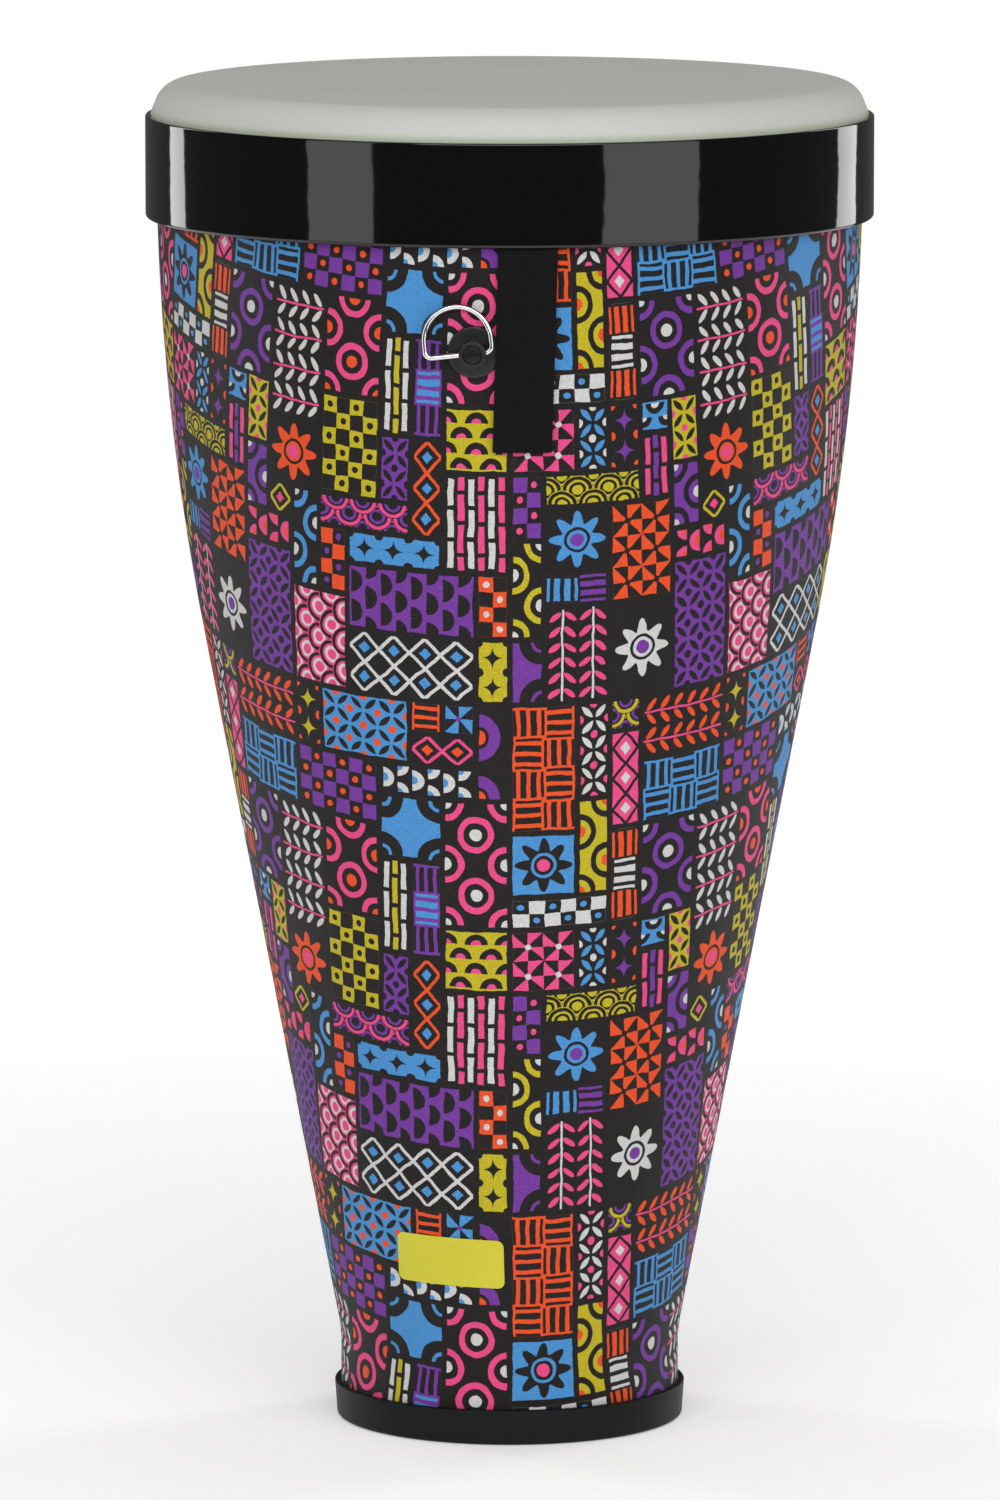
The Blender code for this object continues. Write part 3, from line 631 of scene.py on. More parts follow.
def neighbours(number, patch):
    """Numbers of the patches that touch a patch, itself left out."""
    found = set()
    for axis in (0, 1):
        for step in (-1, 1):
            found |= set(np.roll(number, step, axis)[number == patch])
    return found - {patch}


def plan_patches(chance, number, spans):
    """Motif, ground, ink and accent of every patch, each unlike its neighbours' where it can be.

    About a third of the patches are dark on a bright ground, and the rest bright on dark.
    """
    shades = colours()
    inks = {name: np.array(getattr(shades, name)) for name in INKS}
    dark = np.array(shades.dark)
    motifs, mains = {}, {}
    paints = np.zeros((len(spans), 3, 3))
    for patch, (across, up) in enumerate(spans):
        near = neighbours(number, patch)
        taken = {motifs.get(k) for k in near}
        allowed = [m for m in range(MOTIF_COUNT) if m not in taken]
        if min(across, up) < 2:
            allowed = [m for m in allowed if m not in SQUARE_MOTIFS]
        elif across == up:
            allowed += [m for m in SQUARE_MOTIFS if m in allowed] * SQUARE_FAVOUR
        motifs[patch] = chance.choice(allowed)
        used = {mains.get(k) for k in near}
        free = [ink for ink in INKS if ink not in used] or list(INKS)
        mains[patch] = str(chance.choice(free))
        second = inks[str(chance.choice([ink for ink in INKS if ink != mains[patch]]))]
        main = inks[mains[patch]]
        if chance.random() < BRIGHT_GROUNDS:
            paints[patch] = main, dark, (dark if chance.random() < 0.5 else second)
        else:
            paints[patch] = dark, main, second
    return np.array([motifs[k] for k in range(len(spans))]), paints


def outline_table():
    """Arc length, radius and height along the covering's outline, from the bottom up."""
    height = np.linspace(COVER_BOTTOM, COVER_TOP, OUTLINE_POINTS)
    radius = cover_radius(height)
    steps = np.hypot(np.diff(radius), np.diff(height))
    return np.concatenate([[0], np.cumsum(steps)]), radius, height


def build_cover_sheet():
    """Flat sheet cut on square grid lines and wrapped on the outline.

    A point of the flat sheet has the polar coordinates (s, t) about the cone's apex. Its azimuth
    is t over the sine of the cone angle, and s less the sheet's inner radius is its distance along
    the outline. Points past the edges are pulled back on to them.
    """
    cell = sizes().cell
    along, radius, height = outline_table()
    narrow = math.sin(CONE_ANGLE)
    inner = float(cover_radius(CONE_START)) / narrow - np.interp(CONE_START, height, along)
    outer = inner + along[-1]
    half_turn = math.pi * narrow
    step = cell / SHEET_STEPS
    across_count = int(outer * math.sin(half_turn) / step) + 2
    x = np.arange(-across_count, across_count + 1) * step
    y = np.arange(int(inner * math.cos(half_turn) / step) - 1, int(outer / step) + 3) * step
    flat_x, flat_y = np.meshgrid(x, y)
    reach, turn = np.hypot(flat_x, flat_y), np.arctan2(flat_x, flat_y)
    inside = (reach > inner) & (reach < outer) & (np.abs(turn) < half_turn)
    faces = grid_faces(len(y), len(x))
    faces = faces[inside.ravel()[faces].any(axis=1)]
    centre_x = flat_x.ravel()[faces].mean(axis=1)
    centre_y = flat_y.ravel()[faces].mean(axis=1)
    cells = np.stack([np.floor(centre_x / cell), np.floor(centre_y / cell)], axis=1).astype(int)
    reach, turn = np.clip(reach, inner, outer), np.clip(turn, -half_turn, half_turn)
    radii, heights = (np.interp(reach - inner, along, table) for table in (radius, height))
    points = around(radii, turn / narrow, heights).reshape(-1, 3)
    flat = np.stack([reach * np.sin(turn), reach * np.cos(turn)], axis=-1).reshape(-1, 2)
    kept, faces = np.unique(faces, return_inverse=True)
    faces = faces.reshape(-1, 4)
    points, flat = points[kept], flat[kept]
    corners = points[faces]
    normal = np.cross(corners[:, 2] - corners[:, 0], corners[:, 3] - corners[:, 1])
    if (normal * corners.mean(axis=1) * (1, 1, 0)).sum() < 0:
        faces = faces[:, ::-1]
    piece = make_object("printed_covering", points, [faces], closed=False)
    return piece, flat[faces], cells


def paint_cover_sheet(piece, flat, cells):
    """Writes the patchwork on the sheet: each corner's place in its patch, and the patch's paints.

    A place is in cells from the patch's own corner, stretched so that the dark margin lies outside
    the patch's span, and then turned over or swapped at random.
    """
    cell, margin = sizes().cell, sizes().margin / sizes().cell
    chance = np.random.default_rng(sizes().patch_seed)
    number, offset, spans = plan_tile(chance)
    motifs, paints = plan_patches(chance, number, spans)
    turned_over = chance.random((len(spans), 3)) < 0.5
    column, row = cells[:, 0] % TILE_ACROSS, cells[:, 1] % TILE_UP
    patch = number[row, column]
    start = cells - offset[row, column]
    span = spans[patch].astype(float)
    local = flat / cell - start[:, None, :]
    local = (local - margin) / (span - 2 * margin)[:, None, :] * span[:, None, :]
    local = np.where(turned_over[patch][:, None, :2], span[:, None, :] - local, local)
    swap = turned_over[patch][:, 2]
    local[swap] = local[swap][:, :, ::-1]
    span[swap] = span[swap][:, ::-1]
    mesh = piece.data
    write_uv(mesh, "sheet", flat)
    write_uv(mesh, "patch", local)
    write_uv(mesh, "span", np.repeat(span[:, None, :], 4, axis=1))
    motif = mesh.attributes.new("motif", "FLOAT", "CORNER")
    motif.data.foreach_set("value", np.repeat(motifs[patch], 4).astype(np.float32))
    for k, name in enumerate(("ground", "ink", "accent")):
        paint = mesh.attributes.new(name, "FLOAT_COLOR", "CORNER")
        rgba = np.concatenate([paints[patch][:, k], np.ones((len(patch), 1))], axis=1)
        paint.data.foreach_set("color", np.repeat(rgba, 4, axis=0).astype(np.float32).ravel())


class Motifs:
    """The patchwork's figures, each a pair of masks, ink and accent, in units of one cell."""

    def __init__(self, x, y, across, up):
        self.x, self.y, self.across, self.up = x, y, across, up
        self.u, self.v = x.fract() - 0.5, y.fract() - 0.5
        self.au, self.av = abs(self.u), abs(self.v)
        self.parity = (x.floor() + y.floor()) % 2.0

    def inside(self, distance):
        """Mask that is 1 where the distance is below 0, with a soft edge."""
        return (0.5 - distance / PRINT_EDGE).clamp()

    def ring(self, radius, middle, half):
        """Mask of the band between middle - half and middle + half."""
        return self.inside(abs(radius - middle) - half)

    def staggered(self, rows):
        """Cell of a brick bond: place across, place up in the row and the row's number."""
        raised = self.y * rows
        row = raised.floor()
        return (self.x + row * 0.5).fract() - 0.5, raised.fract() / rows, row

    def petals(self):
        side = (self.au - 0.5).reach(self.av)
        end = self.au.reach(self.av - 0.5)
        return self.inside(side.most(end) - 0.45), self.inside(side.least(end) - 0.13)

    def scales(self):
        across, up, _ = self.staggered(2.0)
        own = across.reach(up)
        behind = (abs(across) - 0.5).reach(0.5 - up)
        radius = behind + (own < 0.5) * (own - behind)
        return self.ring(radius, 0.41, 0.06), self.ring(radius, 0.22, 0.05)

    def arcs(self):
        across = self.u * (1.0 - self.parity * 2.0)
        near = (across + 0.5).reach(self.v + 0.5)
        far = (across - 0.5).reach(self.v - 0.5)
        radius = near.least(far)
        return self.ring(radius, 0.5, 0.1), self.inside(radius - 0.2)

    def checks(self):
        square = ((self.x * 2.0).floor() + (self.y * 2.0).floor()) % 2.0
        dot = ((self.x * 2.0).fract() - 0.5).reach((self.y * 2.0).fract() - 0.5)
        return square, self.inside(dot - 0.22) * (1.0 - square)

    def lattice(self):
        diamond = self.au + self.av
        return self.ring(diamond, 0.5, 0.075), self.inside(diamond - 0.2)

    def pinwheel(self):
        blade = (self.au - self.av) * (self.u * self.v).sign()
        return self.inside(0.02 - blade), self.inside(self.u.reach(self.v) - 0.1)

    def basket(self):
        swing = self.v - self.u
        bars, ends = self.u + self.parity * swing, self.v - self.parity * swing
        mask = self.inside(((abs((bars * 3.0).fract() - 0.5) - 0.3) / 3.0).most(abs(ends) - 0.42))
        return mask * (1.0 - self.parity), mask * self.parity

    def half_discs(self):
        across, up, _ = self.staggered(2.0)
        radius = across.reach(up - 0.06)
        core = self.inside((radius - 0.17).most(0.06 - up))
        return self.inside((radius - 0.38).most(0.06 - up)), core

    def rings(self):
        radius = (self.x - self.across * 0.5).reach(self.y - self.up * 0.5) * 2.3
        band = self.ring(radius.fract() / 2.3, 0.217, 0.13)
        every_other = radius.floor() % 2.0
        return band * (1.0 - every_other), band * every_other

    def rosette(self):
        across, up = self.x - self.across * 0.5, self.y - self.up * 0.5
        radius = across.reach(up) / (self.across.least(self.up) * 0.5)
        waves = (up.azimuth(across) * 8.0).cosine()
        flower = self.inside(radius - 0.74 - waves * 0.2) * (1.0 - self.ring(radius, 0.38, 0.05))
        return flower, self.inside(radius - 0.22)

    def leaves(self):
        across, up = self.au - 0.25, (self.y * 2.0).fract() / 2.0 - 0.25
        along = (across * 0.77 + up * 0.64) / 0.24
        beside = (up * 0.77 - across * 0.64) / 0.09
        leaf = (along.reach(beside) - 1.0) * 0.09
        return self.inside(leaf), self.inside(self.au - 0.035)

    def quarter_discs(self):
        across = self.u * (1.0 - (self.x.floor() % 2.0) * 2.0)
        up = self.v * (1.0 - (self.y.floor() % 2.0) * 2.0)
        radius = (across + 0.5).reach(up + 0.5)
        return self.ring(radius, 0.56, 0.2), self.inside(radius - 0.24)

    def bricks(self):
        across, up, row = self.staggered(3.0)
        brick = self.inside((abs(across) - 0.43).most(abs(up - 1 / 6) - 0.1))
        return brick * (1.0 - row % 2.0), brick * (row % 2.0)

    def stars(self):
        star = (self.au**0.5 + self.av**0.5 - 0.66) * 0.5
        corner_disc = (self.au - 0.5).reach(self.av - 0.5) - 0.15
        return self.inside(star), self.inside(corner_disc)

    def all(self):
        return [
            self.petals(), self.scales(), self.arcs(), self.checks(), self.lattice(),
            self.pinwheel(), self.basket(), self.half_discs(), self.rings(), self.rosette(),
            self.leaves(), self.quarter_discs(), self.bricks(), self.stars(),
        ]


def printed_cloth():
    """Inks on canvas under a thin vinyl coat."""
    cloth = Finish("printed_cover")
    stray = sizes().wobble / sizes().cell
    x, y, _ = cloth.uv("patch")
    for scale, share in STRAYS:
        shift_x, shift_y, _ = cloth.parts(cloth.noise(scale, 1.0, output="Color"))
        x = x + (shift_x - 0.5) * (stray * share)
        y = y + (shift_y - 0.5) * (stray * share)
    across, up, _ = cloth.uv("span")
    motifs = Motifs(x, y, across, up)
    chosen = cloth.attribute("motif", "Fac")
    ink_mask, accent_mask = 0.0, 0.0
    for number, (figure, detail) in enumerate(motifs.all()):
        here = chosen.matches(float(number), 0.5)
        ink_mask = here * figure + ink_mask
        accent_mask = here * detail + accent_mask
    edge = (abs(x - across * 0.5) - across * 0.5).most(abs(y - up * 0.5) - up * 0.5)
    ground, ink, accent = (cloth.attribute(k, "Color") for k in ("ground", "ink", "accent"))
    colour = cloth.mix(accent_mask, cloth.mix(ink_mask, ground, ink), accent)
    colour = cloth.mix(motifs.inside(edge), tuple(colours().dark), colour)
    sheet_x, sheet_y, _ = cloth.uv("sheet")
    turns = math.tau / sizes().thread
    weave = (sheet_x * turns).sine() * (sheet_y * turns).sine()
    grain = cloth.noise(1500.0, 2.0, 0.6)
    colour = cloth.tint(colour, 0.94 + weave * 0.08 + (grain - 0.5) * 0.4)
    height = weave * 0.5 + grain
    return cloth.shade(
        Base_Color=colour,
        Roughness=0.36 + grain * 0.3,
        Specular_IOR_Level=0.2,
        Normal=cloth.bump(height, 0.0003),
    )


# Roughness, scale and depth of the grain, and spread of shade of each plain finish
PLAIN_FINISHES = {
    "shell_fibre": (0.7, 500.0, 0.0002, 0.3),
    "bearing_plastic": (0.5, 900.0, 0.00004, 0.12),
    "foot_rubber": (0.5, 700.0, 0.00006, 0.2),
    "flesh_hoop_resin": (0.45, 600.0, 0.00005, 0.12),
    "hook_tape": (0.9, 1600.0, 0.0005, 0.5),
    "saddle_plastic": (0.32, 1400.0, 0.00003, 0.12),
    "sticker_yellow": (0.42, 300.0, 0.00012, 0.05),
}
# Display colour and roughness of each plated finish
PLATED_FINISHES = {
    "ring_chrome": ((225, 225, 226), 0.05),
    "blackened_steel": ((52, 52, 54), 0.3),
    "zinc_steel": ((190, 190, 192), 0.35),
}


def mottled(name, base, **sockets):
    """Plain finish: a fine grain in its height, and slow clouds in its colour and its gloss."""
    rough, grain_scale, grain_depth, spread = PLAIN_FINISHES[name]
    finish = Finish(name)
    grain = finish.noise(grain_scale, 3.0, 0.6)
    cloud = finish.noise(grain_scale / 12, 3.0)
    colour = finish.tint(tuple(base), 1.0 + (cloud - 0.5) * spread * 2 + (grain - 0.5) * spread)
    return finish.shade(
        Base_Color=colour,
        Roughness=rough + (cloud - 0.5) * 0.12,
        Normal=finish.bump(grain, grain_depth),
        **sockets,
    )


def gloss_lacquer():
    """Lacquer that is nearly flat: its slow waves bend the edges of what it mirrors."""
    finish = Finish("hoop_gloss_black")
    waves = finish.noise(1.0, 2.0, vector=finish.stretched((26.0, 26.0, 60.0)))
    dust = finish.noise(2600.0, 1.0)
    return finish.shade(
        Base_Color=finish.tint(tuple(colours().hoop), 0.8 + waves * 0.4),
        Roughness=0.05 + (dust > 0.72) * 0.12,
        Normal=finish.bump(waves, 0.00022),
        Specular_IOR_Level=0.5,
    )


def coated_film():
    """Suede coat: fine specks and slow clouds, with painted shade, a darker and cooler foot, where
    the film meets the hoop.
    """
    finish = Finish("coated_film")
    specks = finish.noise(2300.0, 2.0, 0.7)
    clouds = finish.noise(16.0, 3.0)
    height = finish.parts(finish.coordinates)[2]
    # Painted shade: the film turns darker and cooler where it tucks down into the hoop
    foot = ((FILM_KNEE + FILM_FOOT - height) / FILM_FOOT).clamp()
    pale = tuple(colours().film)
    painted_shade_colour = tuple(np.array(pale) * (0.80, 0.86, 0.72))
    colour = finish.mix(foot, pale, painted_shade_colour)
    colour = finish.tint(colour, 0.97 + (clouds - 0.5) * 0.08 + (specks - 0.5) * 0.16)
    return finish.shade(Base_Color=colour, Roughness=0.78, Normal=finish.bump(specks, 0.00006))


def woven_webbing():
    """Flat webbing: ribs across it, crossed by the fine warp."""
    finish = Finish("strap_webbing")
    along, across, _ = finish.uv("weave")
    rib = (along * (math.tau / sizes().rib)).cosine()
    warp = (across * (math.tau / sizes().warp)).cosine()
    fluff = finish.noise(3000.0, 2.0, 0.7)
    height = rib * 0.4 + warp * 0.2 + fluff
    shade_of_black = 0.9 + rib * 0.12 + warp * 0.06 + (fluff - 0.5) * 0.5
    return finish.shade(
        Base_Color=finish.tint(tuple(colours().webbing), shade_of_black),
        Roughness=0.75 + fluff * 0.15,
        Normal=finish.bump(height, 0.0001),
        Specular_IOR_Level=0.12,
    )


def bright_plate(name):
    """Plated metal with faint rub marks."""
    display, rough = PLATED_FINISHES[name]
    finish = Finish(name)
    marks = finish.noise(900.0, 3.0, 0.6)
    return finish.shade(
        Base_Color=finish.tint(linear(*display), 0.92 + marks * 0.14),
        Metallic=1.0,
        Roughness=rough + marks * 0.08,
        Normal=finish.bump(marks, 0.00001),
    )


def strap_azimuth(index):
    return STRAP_AZIMUTH + index * math.tau / STRAP_COUNT


def strap_drift(height):
    """How far a strap has drifted sideways at a height, nothing at its top and all at its end."""
    return np.maximum(STRAP_LEAN * (STRAP_TOP - height) / (STRAP_TOP - STRAP_BOTTOM), STRAP_LEAN)


def strap_point(index, height, across, lift):
    """Point of a strap, from its height, its place across it and its lift off the covering."""
    return on_cover(strap_azimuth(index), height, across + strap_drift(height), lift)


def boss_azimuth():
    """Azimuth of the saddle, whose flange is tucked under the strap's left edge."""
    across = strap_drift(BOSS_HEIGHT) - STRAP_WIDTH / 2 + FLANGE_TUCK - FLANGE_RADIUS
    return float(STRAP_AZIMUTH + across / cover_radius(BOSS_HEIGHT))


def cover_slope(height):
    """Angle of the covering's outline from upright at a height, by a central difference."""
    rise = float(cover_radius(height + GAP) - cover_radius(height - GAP))
    return math.atan2(rise, 2 * GAP)


def boss_matrix():
    """Frame on the covering under the saddle: X along the ring's bar, Y up, Z outwards."""
    azimuth, slope = boss_azimuth(), cover_slope(BOSS_HEIGHT)
    down = Vector((0, 0, -1))
    radial = Vector((math.sin(azimuth), -math.cos(azimuth), 0.0))
    outward = math.cos(slope) * radial + math.sin(slope) * down
    up = math.sin(slope) * radial - math.cos(slope) * down
    place = Matrix((up.cross(outward), up, outward)).transposed().to_4x4()
    place.translation = Vector(on_cover(np.float64(azimuth), BOSS_HEIGHT))
    return place @ Matrix.Rotation(BOSS_TILT, 4, "Z")


def ring_path():
    """Centre line of the ring in its pivot frame: end, corner, bow, corner, end.

    The corners and the bow are arcs, set to the left so that the bow clears the strap's edge.
    """
    half = RING_WIDTH / 2
    bow_centre = RING_HEIGHT - half
    outermost = FLANGE_RADIUS - FLANGE_TUCK - RING_CLEARANCE
    overhang = half + WIRE_RADIUS - bow_centre * math.sin(BOSS_TILT) - outermost
    offset = overhang / math.cos(BOSS_TILT)
    end = SHANK_RADIUS + GAP + PIVOT_WEB + GAP
    side = half - RING_CORNER
    right = arc((side - offset, RING_CORNER), RING_CORNER, -math.pi / 2, 0, 12)
    bow = arc((-offset, bow_centre), half, 0, math.pi, 72)
    left = arc((-side - offset, RING_CORNER), RING_CORNER, -math.pi, -math.pi / 2, 12)
    path = np.concatenate([[(end, 0.0)], right, bow, left, [(-end, 0.0)]])
    return np.column_stack([path, np.zeros(len(path))])


class DRUM_OT_covering(bpy.types.Operator):
    """Wrap the printed covering on the shell"""

    bl_idname = "stack_drum.covering"
    bl_label = "Printed covering"

    def execute(self, context):
        piece, flat, cells = build_cover_sheet()
        paint_cover_sheet(piece, flat, cells)
        wall = piece.modifiers.new("thickness", "SOLIDIFY")
        wall.thickness = WRAP_THICKNESS
        wall.offset = -1
        dress(piece, "shell", "printed_cover", printed_cloth(), "shell_wrap")
        return {"FINISHED"}


class DRUM_OT_shell(bpy.types.Operator):
    """Turn the shell and its bearing ring"""

    bl_idname = "stack_drum.shell"
    bl_label = "Shell and bearing ring"

    def execute(self, context):
        heights = np.linspace(COVER_BOTTOM, COVER_TOP, 60)
        outside = np.column_stack([cover_radius(heights) - WRAP_THICKNESS - GAP, heights])
        inside = np.column_stack([bore_radius(heights), heights])
        shell = turned("shell_tube", [outside, inside[::-1]])
        fibre = mottled("shell_fibre", colours().fibre)
        dress(shell, "shell", "shell_fibre", fibre, "shell")

        edge = CROWN_RADIUS - FILM_THICKNESS - GAP
        wall = min(CROWN_START + edge, TOP_RADIUS)
        skirt_bottom = BEARING_SEAT - BEARING_SKIRT
        skirt = float(min(bore_radius(skirt_bottom), bore_radius(BEARING_SEAT))) - GAP
        inner = skirt - BEARING_WIDTH
        crown = arc(CROWN_CENTRE, edge, math.pi / 2, math.acos((wall - CROWN_START) / edge), 12)
        rest = [
            (wall, BEARING_SEAT), (skirt, BEARING_SEAT), (skirt, skirt_bottom),
            (inner, skirt_bottom), (inner, BEARING_TOP - BEARING_CHAMFER),
            (inner + BEARING_CHAMFER, BEARING_TOP),
        ]
        ring = turned("bearing_edge", [crown, rest])
        plastic = mottled("bearing_plastic", linear(48, 48, 48))
        dress(ring, "shell", "bearing_plastic", plastic, "bearing_ring")
        return {"FINISHED"}


class DRUM_OT_foot(bpy.types.Operator):
    """Turn the rubber foot"""

    bl_idname = "stack_drum.foot"
    bl_label = "Rubber foot"

    def execute(self, context):
        lip_outer = FOOT_RADIUS + GAP + FOOT_LIP
        base_outer = lip_outer - FOOT_DRAFT
        grip_outer = FOOT_RADIUS + GAP
        grip_inner = float(bore_radius(COVER_BOTTOM)) - GAP
        bore = grip_inner - FOOT_INNER_WALL
        lip = corner(lip_outer, FOOT_HEIGHT, FOOT_LIP_ROUND)
        base = low_corner(base_outer, 0.0, FOOT_CORNER)
        channel = [
            (bore, 0.0), (bore, FOOT_INNER_HEIGHT), (grip_inner, FOOT_INNER_HEIGHT),
            (grip_inner, FOOT_FLOOR), (grip_outer, FOOT_FLOOR), (grip_outer, FOOT_HEIGHT),
        ]
        foot = turned("foot_channel", [lip, base, channel])
        rubber = mottled("foot_rubber", colours().rubber, Specular_IOR_Level=0.15)
        dress(foot, "shell", "foot_rubber", rubber, "rubber_foot")
        return {"FINISHED"}


class DRUM_OT_head(bpy.types.Operator):
    """Turn the film and the counter hoop, and finish the flesh hoop"""

    bl_idname = "stack_drum.head"
    bl_label = "Head and hoop"

    def execute(self, context):
        bead = corner(HOOP_OUTER, HOOP_TOP, HOOP_BEAD)
        lower = low_corner(HOOP_OUTER, HOOP_BOTTOM, HOOP_CORNER)
        inside = [
            (HOOP_INNER, HOOP_BOTTOM), (HOOP_INNER, HOOP_TOP - GAP), (HOOP_INNER + GAP, HOOP_TOP),
        ]
        hoop = turned("gloss_hoop", [bead, lower, inside])
        dress(hoop, "head", "hoop_gloss_black", gloss_lacquer(), "counter_hoop")

        film = turned("playing_film", [self.side(0.0), self.side(FILM_THICKNESS)[::-1]])
        dress(film, "head", "coated_film", coated_film(), "head_film")

        resin = mottled("flesh_hoop_resin", linear(90, 90, 90))
        dress_node("flesh_hoop", resin)
        return {"FINISHED"}

    def side(self, depth):
        """Film from its middle to the foot of its collar, at a depth into its wall."""
        crown = arc(CROWN_CENTRE, CROWN_RADIUS - depth, math.pi / 2, FILM_SLANT, 18)
        knee = FILM_KNEE - depth * math.tan(FILM_SLANT / 2)
        rest = [(COLLAR_RADIUS - depth, knee), (COLLAR_RADIUS - depth, COLLAR_BOTTOM)]
        radii = np.linspace(0, CROWN_START, 8)[:-1]
        flat = np.column_stack([radii, np.full(len(radii), HEAD_TOP - depth)])
        return np.concatenate([flat, crown, rest])


class DRUM_OT_straps(bpy.types.Operator):
    """Lay the webbing straps and their pads of hook tape"""

    bl_idname = "stack_drum.straps"
    bl_label = "Straps and hook pads"

    def execute(self, context):
        webbing = woven_webbing()
        hooks = mottled("hook_tape", colours().webbing)
        for index in range(STRAP_COUNT):
            self.strap(index, webbing)
            heights, widths = rounded_rows(PAD_BOTTOM, PAD_TOP, PAD_HALF_WIDTH, PAD_CORNER, 30)
            across = widths[:, None] * np.linspace(-1, 1, 13)
            under = strap_point(index, heights[:, None], across, GAP)
            over = strap_point(index, heights[:, None], across, GAP + PAD_THICKNESS)
            pad = layered(f"hook_tape_{index + 1}", under, over)
            dress(pad, "shell", "hook_tape", hooks, f"hook_pad_{index + 1}")
        return {"FINISHED"}

    def strap(self, index, webbing):
        """Ribbed band, one mesh from inside the hoop to its free end.

        The ribs are a cosine of the height. They and the thickness fall off at both selvedges.
        """
        number = index + 1
        rows = int((STRAP_HIDDEN_TOP - STRAP_BOTTOM) / sizes().rib * ROWS_PER_RIB)
        height = np.linspace(STRAP_BOTTOM, STRAP_HIDDEN_TOP, rows)[:, None]
        share = np.sin(np.linspace(-math.pi / 2, math.pi / 2, 17))
        across = share * STRAP_WIDTH / 2
        rib = sizes().rib_height * np.cos(height * math.tau / sizes().rib) * (1 - share**6)
        thick = STRAP_THICKNESS * (1 - SELVEDGE_LOSS * np.abs(share) ** 10) - sizes().rib_height
        under = strap_point(index, height, across, STRAP_LIFT)
        over = strap_point(index, height, across, STRAP_LIFT + thick + rib)
        piece = layered(f"webbing_strap_{number}", under, over)
        self.unroll(piece.data, strap_azimuth(index))
        nodes = f"head_strap_{number}", f"strap_anchor_{number}"
        dress(piece, None, "strap_webbing", webbing, *nodes)
        start = strap_point(index, STRAP_TOP + BEND_ABOVE, 0.0, STRAP_LIFT)
        end = strap_point(index, STRAP_TOP - BEND_BELOW, 0.0, STRAP_LIFT)
        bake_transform(piece)

    def unroll(self, mesh, middle):
        """Writes each corner's height and its distance across the strap, in metres."""
        points = np.zeros(len(mesh.vertices) * 3, np.float32)
        mesh.vertices.foreach_get("co", points)
        points = points.reshape(-1, 3)
        at_corner = np.zeros(len(mesh.loops), np.int32)
        mesh.loops.foreach_get("vertex_index", at_corner)
        azimuth = np.arctan2(points[:, 0], -points[:, 1]) - middle
        sideways = np.arctan2(np.sin(azimuth), np.cos(azimuth)) * TOP_RADIUS
        write_uv(mesh, "weave", np.column_stack([points[:, 2], sideways])[at_corner])


